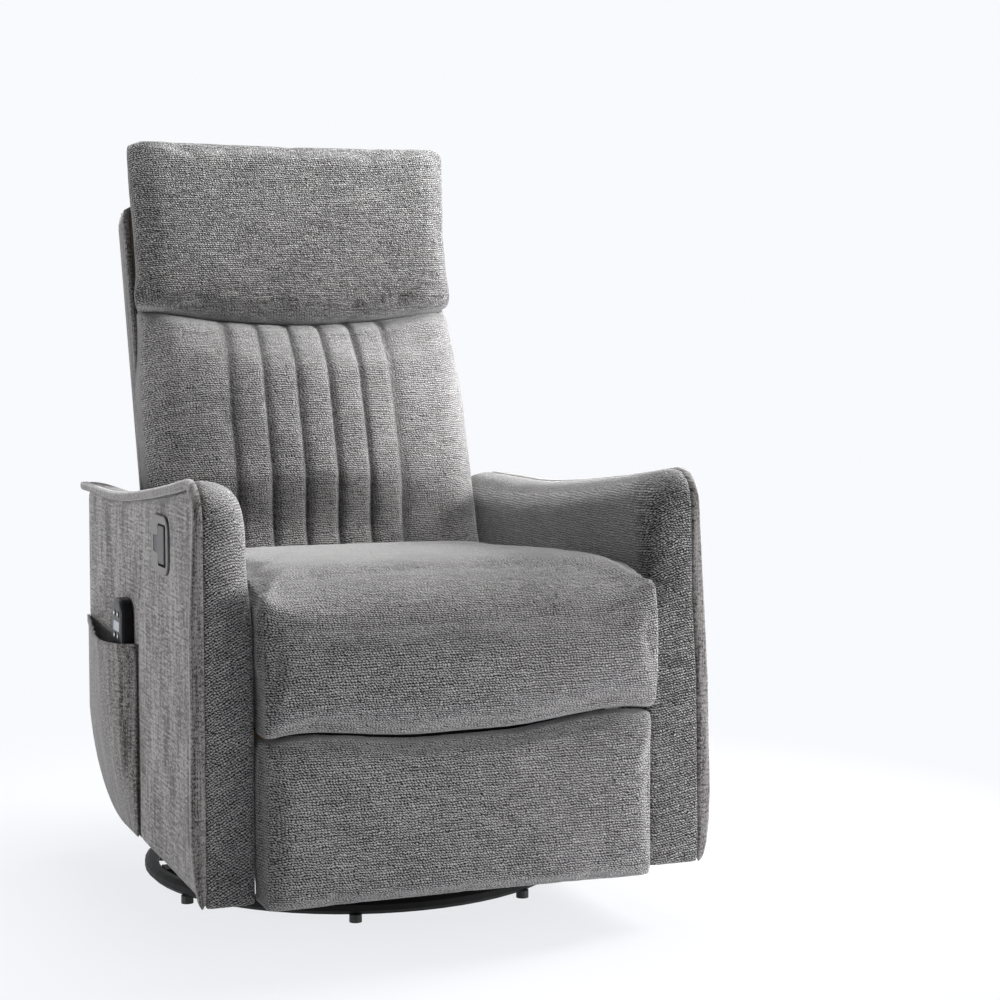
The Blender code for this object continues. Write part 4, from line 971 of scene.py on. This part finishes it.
def make_head():
    """The head cushion's cover, fuller towards its top, with two sides that differ a little."""
    loops = []
    for s in crowded(32):
        side = sqrt(1 - abs(s) ** 14)
        low, high = seam_up(s * PAD_HALF) + HEAD_GAP, HEAD_TOP - HEAD_DRAW + HEAD_HORN * abs(s)
        points = [(PAD_REAR, low)]
        for k in range(33):
            t = k / 32
            rise = (1 - cos(pi * t)) / 2
            full = HEAD_DEEP + HEAD_SWELL * rise
            fill = sqrt(sqrt(1 - abs(2 * t - 1) ** 11)) if t > 0.5 else sqrt(1 - abs(2 * t - 1) ** 5)
            reach = (PAD_REAR + full) * (HEAD_SIDE + (1 - HEAD_SIDE) * side)
            reach *= HEAD_EDGE + (1 - HEAD_EDGE) * fill
            points.append((PAD_REAR - reach, low + (high - low) * rise))
        points += [(PAD_REAR, high), (PAD_REAR, low)]
        loops.append([leaning(s * PAD_HALF, u, w) for u, w in resample(points, HEAD_POINTS)[:-1]])
    piece = skin("head_cover", loops)
    even_mesh(piece, PLAIN_MESH)
    relax(piece, 2)
    puff(piece, HEAD_PUFF)
    fit(piece, (-HEAD_BULGE, HEAD_FRONT, SEAM_UP + SEAM_LIFT - SEAM_SAG),
        (HEAD_BULGE, PAD_REAR, HEAD_TOP + HEAD_CROWN), in_back=True)
    points = upright(coords(piece.data))
    points[:, 1] = np.minimum(points[:, 1], PAD_REAR)
    points[:, 2] = np.maximum(points[:, 2], seam_up(points[:, 0]) + HEAD_CLEAR)
    half = np.where(points[:, 0] < 0, np.interp(points[:, 2], HEAD_LEVELS, HEAD_LEFT),
                    np.interp(points[:, 2], HEAD_LEVELS, HEAD_RIGHT))
    tuck = np.clip((points[:, 1] - TUCK_START) / TUCK_DEEP, 0.0, 1.0)
    points[:, 0] *= half / HEAD_HALF * (1 - HEAD_TUCK * tuck * tuck * (3 - 2 * tuck))
    set_coords(piece.data, np.array([leaning(*p) for p in points]))
    finer(piece)
    lay_cloth(piece, in_back=True, tone=head_painted_shade)
    dress(piece, "back", "chenille", "head_cushion", fill=0.8)


def channel_seam_shade(x, u, w):
    """Painted shade: dark lines along the stitched seams between the channels, where shade falls into the
    grooves.
    """
    seams = np.array([CHANNEL_WIDTH * (k - CHANNELS / 2) for k in range(CHANNELS + 1)])
    return -CHANNEL_SHADE * np.exp(-(np.abs(x[:, None] - seams).min(1) / CHANNEL_STITCH) ** 2)


def back_stations():
    """Places across the back, each with how full it is: the channels, and a plain wing on both sides."""
    edge = CHANNELS * CHANNEL_WIDTH / 2
    stations = []
    for channel in range(CHANNELS):
        for k in range(12):
            t = k / 12
            round_top = (1 - abs(2 * t - 1) ** 4) ** CHANNEL_EASE
            stations.append((-edge + CHANNEL_WIDTH * (channel + t),
                             CHANNEL_LOW + (1 - CHANNEL_LOW) * round_top))
    stations.append((edge, CHANNEL_LOW))
    wing = []
    for k in range(1, 21):
        t = k / 20
        round_top = (1 - abs(min(WING_RUN * t, 1) - 1) ** WING_EASE) ** CHANNEL_EASE
        near = CHANNEL_LOW + (1 - CHANNEL_LOW) * round_top
        away = 1 - WING_FALL * max(0.0, (t - WING_FALL_FROM) / WING_FALL_RUN) ** WING_EASE
        wing.append((edge + (PAD_HALF - edge) * t, near * away if t < 1 else WING_EDGE))
    return [(-x, full) for x, full in reversed(wing)] + stations + wing


def make_back():
    """Five upright channels between plain padded sides, under the head cushion."""
    stations = back_stations()
    loops = []
    for i in range(BACK_ROWS + 1):
        t = i / BACK_ROWS
        loop = []
        for x, full in stations:
            high = seam_up(x) - SEAM_GAP
            w = PAD_BOTTOM + (high - PAD_BOTTOM) * t
            top = max(0.0, 1 - (high - w) / TOP_RUN)
            foot = max(0.0, 1 - (w - PAD_BOTTOM) / FOOT_RUN)
            fill = 1 - TOP_CLOSE * top ** CLOSE_EASE - FOOT_CLOSE * foot ** CLOSE_EASE
            wave = BACK_WAVE * noise.noise(Vector((x * 16, w * 22, 4.2)))
            belly = (LUMBAR_BELLY * (1 - (x / PAD_HALF) ** 2) * smooth((w - LUMBAR_LOW) / LUMBAR_RISE)
                     * smooth((high - w) / LUMBAR_FADE))
            depth = LUMBAR_DEEP + CHANNEL_DEEP * full + wave + belly
            draw = 1 - LUMBAR_TUCK * (1 - smooth((high - w) / TUCK_RUN))
            loop.append(leaning(x * draw, PAD_REAR - (PAD_REAR + depth) * fill, w))
        for x in (PAD_HALF, 0.0, -PAD_HALF):
            high = seam_up(x) - SEAM_GAP
            loop.append(leaning(x * draw, PAD_REAR, PAD_BOTTOM + (high - PAD_BOTTOM) * t))
        loops.append(loop)
    piece = skin("back_cover", loops)
    lay_cloth(piece, in_back=True, tone=channel_seam_shade)
    dress(piece, "back", "chenille", "back_cushion", fill=0.8)


def make_back_shell():
    """The outer back, padded a little."""
    loops = []
    for i in range(49):
        t = i / 48
        w = SHELL_LOW + (SHELL_HIGH - SHELL_LOW) * t
        end = max(0.0, 1 - min(t, 1 - t) / SHELL_END)
        thick = PANEL_REAR - PANEL_FRONT + SHELL_SWELL * (4 * t * (1 - t)) ** 0.5
        loop = []
        for s in crowded(40):
            fill = sqrt(1 - abs(s) ** 12) * sqrt(max(0.0, 1 - end ** 2.0)) if end < 1 else 0.0
            loop.append(leaning(s * SHELL_HALF, PANEL_FRONT + SHELL_EDGE + (thick - SHELL_EDGE) * fill, w))
        for x in (SHELL_HALF, 0.0, -SHELL_HALF):
            loop.append(leaning(x, PANEL_FRONT, w))
        loops.append(loop)
    piece = skin("back_shell", loops)
    lay_cloth(piece, in_back=True)
    dress(piece, "back", "brushed_cloth", "back_panel", fill=0.9)


def make_back_border():
    """The border that hides the board's edge, deeper in front beside the upper half of the back."""
    path = resample([(-x, w) for x, w in reversed(BORDER_LINE)] + BORDER_LINE, BORDER_POINTS)
    loops = []
    for (x, w), out in with_square(path):
        ahead = BORDER_AHEAD * smooth((w - BORDER_AHEAD_UP) / BORDER_AHEAD_RUN)
        strip = rounded(BORDER_THICK, BORDER_DEEP + ahead, BORDER_CORNER,
                        (0.0, BORDER_MIDDLE - ahead / 2), steps=3)
        loops.append([leaning(x + out[0] * a, u, w + out[1] * a) for a, u in strip])
    piece = skin("back_border", loops)
    # Painted shade: the border's cloth is toned darker than the shell's, standing in for the shade along the
    # back's edges
    lay_cloth(piece, in_back=True, tone=-0.15, spread=5.0)
    dress(piece, "back", "brushed_cloth", fill=0.8)


make_head()
make_back()
make_back_shell()
make_back_border()


# Pocket

def panel_bottom(y):
    """Height of a side panel's lower edge."""
    t = min(max((y - TAIL_START) / (ARM_REAR - TAIL_START), 0.0), 1.0)
    return TAIL_TOP + (ARM_BOTTOM - TAIL_TOP) * sqrt(1 - t * t)


def pocket_gape(y):
    """How far the pocket's cloth stands off the panel: it bellies out past the handset."""
    near = HANDSET_Y - HANDSET_WIDTH / 2 - CLEARANCE
    places = (POCKET_FRONT, near, (near + POCKET_CREST) / 2, POCKET_CREST, POCKET_CREST + POCKET_FAR_RUN,
              POCKET_REAR)
    return np.interp(y, places, (0.0, POCKET_NEAR, POCKET_HALFWAY, POCKET_GAPE, POCKET_FAR, 0.0))


def make_pocket():
    """The pocket's cloth, sewn to the side panel all round but along its mouth."""
    floor = HANDSET_BOTTOM - CLEARANCE
    loops = []
    for i in range(POCKET_COLUMNS + 1):
        share = i / POCKET_COLUMNS
        y = POCKET_FRONT + (POCKET_REAR - POCKET_FRONT) * share ** POCKET_CROWD
        mouth = POCKET_MOUTH - POCKET_SAG * sin(pi * share)
        low = panel_bottom(y) + POCKET_HEM
        gape = pocket_gape(y)
        folds = smooth((y - FOLDS_FROM) / FOLDS_RISE) * smooth((POCKET_REAR - y) / FOLDS_FADE)
        inside, outside = [], []
        for k in range(POCKET_ROWS):
            z = low + (mouth - low) * k / (POCKET_ROWS - 1)
            close = sin(pi / 2 * min(1.0, (z - low) / (floor - low)))
            fold = folds * POCKET_FOLD * noise.noise(Vector((y * 46, z * 5, 7.0))) * close
            x = PANEL_OUTER + CLEARANCE + max(0.0, gape * close + fold)
            hem = HEM_THICK * smooth((z - mouth + HEM_DROP) / HEM_FADE)
            inside.append((-x, y, z))
            outside.append((-(x + POCKET_CLOTH + hem), y, z))
        loops.append(inside + outside[::-1])
    face = np.array([loop[:POCKET_ROWS] for loop in loops])
    down, over = np.diff(face, axis=1)[:-1], np.diff(face, axis=0)[:, :-1]
    area = float(np.linalg.norm(np.cross(down, over), axis=2).sum())
    piece = skin("pocket_cloth", loops)
    lay_cloth(piece, tone=-0.06, sideways=True, spread=4.0)
    dress(piece, "chair", "brushed_cloth", "side_pocket")


make_pocket()


# Handset

def make_handset():
    """The handset's case, eased along its face and opened for the keys."""
    middle = (HANDSET_Y, HANDSET_BOTTOM + HANDSET_HEIGHT / 2)
    levels = [(HANDSET_BACK, HANDSET_EASE), (HANDSET_BACK + HANDSET_EASE, 0.0)]
    levels += [(HANDSET_FACE - back, inset) for back, inset in FACE_EDGE]
    loops = []
    for x, inset in levels:
        outline = rounded(HANDSET_WIDTH - 2 * inset, HANDSET_HEIGHT - 2 * inset, HANDSET_CORNER - inset,
                          middle, steps=10)
        loops += slab(outline, -x)
    piece = skin("handset_case", loops)
    for z in KEY_ROWS:
        for y in (HANDSET_Y - KEY_ASIDE, HANDSET_Y + KEY_ASIDE):
            well = rounded(KEY_LENGTH, KEY_HEIGHT, KEY_CORNER, (y, z))
            cut(piece, slab(well, -KEY_FLOOR, -(HANDSET_FACE + CUT_PAST)))
    dress(piece, "handset", "gloss_black", "handset_shell", look="handset_case")
    piece.data.set_sharp_from_angle(angle=CREASE)


make_handset()


# Release lever

def make_lever_surround():
    """A bezel with a recess round the grip and a slot for its stem."""
    middle = (LEVER_Y, LEVER_Z)
    cup = rounded(CUP_LENGTH - 2 * CLEARANCE, CUP_HEIGHT - 2 * CLEARANCE, CUP_CORNER, middle)
    loops = slab(cup, -CUP_BACK, -BEZEL_BACK)
    for x, inset in ((BEZEL_BACK, 0.0), (BEZEL_FRONT - BEZEL_ROUND, 0.0), (BEZEL_FRONT, BEZEL_DRAW)):
        rim = rounded(BEZEL_LENGTH - 2 * inset, BEZEL_HEIGHT - 2 * inset, BEZEL_CORNER - inset, middle)
        loops += slab(rim, -x)
    piece = skin("lever_surround", loops)
    recess = (GRIP_FRONT - FINGER_ROOM, GRIP_REAR + 2 * CLEARANCE, GRIP_HALF + GRIP_ROOM, WELL_CORNER)
    slot = (GRIP_REAR - STEM_LAP, HINGE_Y + BARREL_ROOM, STEM_HALF + 2 * CLEARANCE, SLOT_CORNER)
    for front, rear, half, corner in (recess, slot):
        hole = rounded(rear - front, 2 * half, corner, ((front + rear) / 2, LEVER_Z))
        cut(piece, slab(hole, -(CUP_BACK + CUP_FLOOR), -(BEZEL_FRONT + 2 * CUT_PAST)))
    dress(piece, "chair", "grey_plastic", "lever_bezel", look="bezel_plastic")
    piece.data.set_sharp_from_angle(angle=CREASE)


def make_lever_paddle():
    """The paddle that swings out of the recess: a grip on a flat stem, with a hinge barrel."""
    middle = ((GRIP_FRONT + GRIP_REAR) / 2, LEVER_Z)
    length, height = GRIP_REAR - GRIP_FRONT, 2 * GRIP_HALF
    back = BEZEL_FRONT - GRIP_THICK
    grip = rounded(length, height, GRIP_CORNER, middle)
    inner = rounded(length - 2 * GRIP_ROUND, height - 2 * GRIP_ROUND, GRIP_CORNER - GRIP_ROUND, middle)
    sides = slab(grip, -(back + GRIP_ROUND), -(BEZEL_FRONT - GRIP_ROUND))
    piece = skin("lever_paddle", slab(inner, -back) + sides + slab(inner, -BEZEL_FRONT))
    stem = rounded(HINGE_Y - GRIP_REAR + STEM_LAP, 2 * STEM_HALF, SLOT_CORNER,
                   ((GRIP_REAR + HINGE_Y) / 2 - STEM_LAP / 2, LEVER_Z))
    cut(piece, slab(stem, -(back + STEM_SINK), -(BEZEL_FRONT - CLEARANCE)), way="UNION")
    barrel = []
    for k in range(BARREL_SIDES):
        turn = 2 * pi * k / BARREL_SIDES
        barrel.append((-(BEZEL_FRONT - BARREL) + BARREL * cos(turn), HINGE_Y + BARREL * sin(turn)))
    half = STEM_HALF - BARREL_SHORT
    cut(piece, [[(x, y, LEVER_Z + z) for x, y in barrel] for z in (-half, half)], way="UNION")
    dress(piece, "lever", "grey_plastic", "release_lever")
    piece.data.set_sharp_from_angle(angle=CREASE)


make_lever_surround()
make_lever_paddle()


# Rocker springs

def make_rocker_spring(name):
    """A coil spring that stands on the turntable, under the chair."""
    low, high = (np.array(corner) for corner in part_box(name))
    middle = (low + high) / 2
    base, rise = low[2] + SPRING_WIRE / 2, high[2] - low[2] - SPRING_WIRE
    steps = SPRING_TURNS * COIL_STEPS
    loops = []
    for i in range(steps + 1):
        turn = 2 * pi * i / COIL_STEPS
        out = np.array((cos(turn), sin(turn), 0.0))
        at = np.array((middle[0], middle[1], base + rise * i / steps)) + out * SPRING_RADIUS
        loop = []
        for k in range(WIRE_STEPS):
            round_wire = 2 * pi * k / WIRE_STEPS
            up = np.array((0.0, 0.0, SPRING_WIRE / 2 * sin(round_wire)))
            loop.append(at + out * (SPRING_WIRE / 2 * cos(round_wire)) + up)
        loops.append(loop)
    piece = skin(name + "_coil", loops)
    dress(piece, None, "spring_steel", name)
    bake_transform(piece)


for number in range(1, 5):
    make_rocker_spring("rocker_spring_" + str(number))


# Fittings that keep their shape

FITTINGS = {
    "black_steel": ("base_ring", "base_spider", "turntable", "cross_tube_", "back_bracket_",
                    "footrest_bracket_"),
    "zinc_steel": ("swivel_race", "seat_plate_", "link_"),
    "spring_steel": ("seat_spring_",),
    "plywood": ("rocker_rail_", "arm_frame_", "seat_rail_", "back_board"),
    "lining": ("footrest_board",),
    "gloss_black": ("massage_motor",),
    "key_white": ("handset_key_",),
    "black_rubber": ("foot_",),
}
for look, starts in FITTINGS.items():
    for name, item in nodes.items():
        if name.startswith(starts):
            for place in item.material_slots:
                place.material = FINISH[look]


# Floor, light and camera

def seen_directly(start):
    """1 for rays that come from the camera, also by way of gloss or glass, and 0 for light."""
    rays = start.node("ShaderNodeLightPath", {}, {}, out="Is Camera Ray")
    both = rays.sum("MAXIMUM", rays, rays.pick("Is Glossy Ray"))
    return both.sum("MAXIMUM", both, rays.pick("Is Transmission Ray"))


def make_floor():
    """A pale floor that shows the chair's shadow near the chair."""
    mesh = bpy.data.meshes.new("studio_floor")
    corners = [(-FLOOR_HALF, -FLOOR_HALF, 0), (FLOOR_HALF, -FLOOR_HALF, 0), (FLOOR_HALF, FLOOR_HALF, 0),
               (-FLOOR_HALF, FLOOR_HALF, 0)]
    mesh.from_pydata(corners, [], [(0, 1, 2, 3)])
    floor = bpy.data.objects.new("studio_floor", mesh)
    bpy.context.collection.objects.link(floor)
    material = bpy.data.materials.new("studio_floor")
    material.use_nodes = True
    tree = material.node_tree
    tree.nodes.clear()
    start = Thread(tree)
    matt = start.node("ShaderNodeBsdfDiffuse", {}, {"Color": (*FLOOR_GREY, 1)})
    glow = start.node("ShaderNodeEmission", {}, {"Color": (*PALE, 1), "Strength": 1.0})
    away = start.node("ShaderNodeVectorMath", {"operation": "LENGTH"}, {0: surface(start)}, out="Value")
    open_floor = away.between(SHADOW_NEAR, SHADOW_FAR) * (1 - SHADOW_GLOW) + SHADOW_GLOW
    both = start.node("ShaderNodeMixShader", {}, {0: seen_directly(start) * open_floor, 1: matt, 2: glow})
    end = tree.nodes.new("ShaderNodeOutputMaterial")
    tree.links.new(both.socket, end.inputs["Surface"])
    mesh.materials.append(material)


def make_world():
    """Soft light from all round, in front of a pale backdrop."""
    world = bpy.data.worlds.new("studio")
    bpy.context.scene.world = world
    world.use_nodes = True
    tree = world.node_tree
    tree.nodes.clear()
    start = Thread(tree)
    soft = start.node("ShaderNodeBackground", {}, {"Color": (*SOFT_LIGHT, 1), "Strength": SOFT_STRENGTH})
    white = start.node("ShaderNodeBackground", {}, {"Color": (*PALE, 1), "Strength": 1.0})
    both = start.node("ShaderNodeMixShader", {}, {0: seen_directly(start), 1: soft, 2: white})
    end = tree.nodes.new("ShaderNodeOutputWorld")
    tree.links.new(both.socket, end.inputs["Surface"])


def lamp(name, place, aim, size, power):
    """A round soft lamp that points from its place to its aim."""
    data = bpy.data.lights.new(name, "AREA")
    data.shape = "DISK"
    data.size = size
    data.energy = power
    item = bpy.data.objects.new(name, data)
    item.location = place
    item.rotation_euler = (Vector(aim) - Vector(place)).to_track_quat("-Z", "Y").to_euler()
    bpy.context.collection.objects.link(item)


make_floor()
make_world()
lamp("right", (1.50, -1.30, 0.35), (0.0, -0.3, 0.3), 0.7, 25)
lamp("above", (0.4, 0.35, 2.6), (0.0, 0.0, 0.5), 1.5, 88)
lamp("left", (-2.4, 0.45, 0.55), (-0.3, 0.1, 0.4), 1.0, 34)
lamp("rim", (1.6, -0.1, 1.10), (0.1, 0.1, 0.7), 0.6, 58)

data = bpy.data.cameras.new("camera")
data.sensor_width = SENSOR
data.lens = LENS
camera = bpy.data.objects.new("camera", data)
camera.location = CAMERA_PLACE
camera.rotation_euler = (radians(90 - CAMERA_DIP), 0, radians(CAMERA_TURN))
bpy.context.collection.objects.link(camera)
scene = bpy.context.scene
scene.camera = camera
scene.view_settings.view_transform = "Standard"
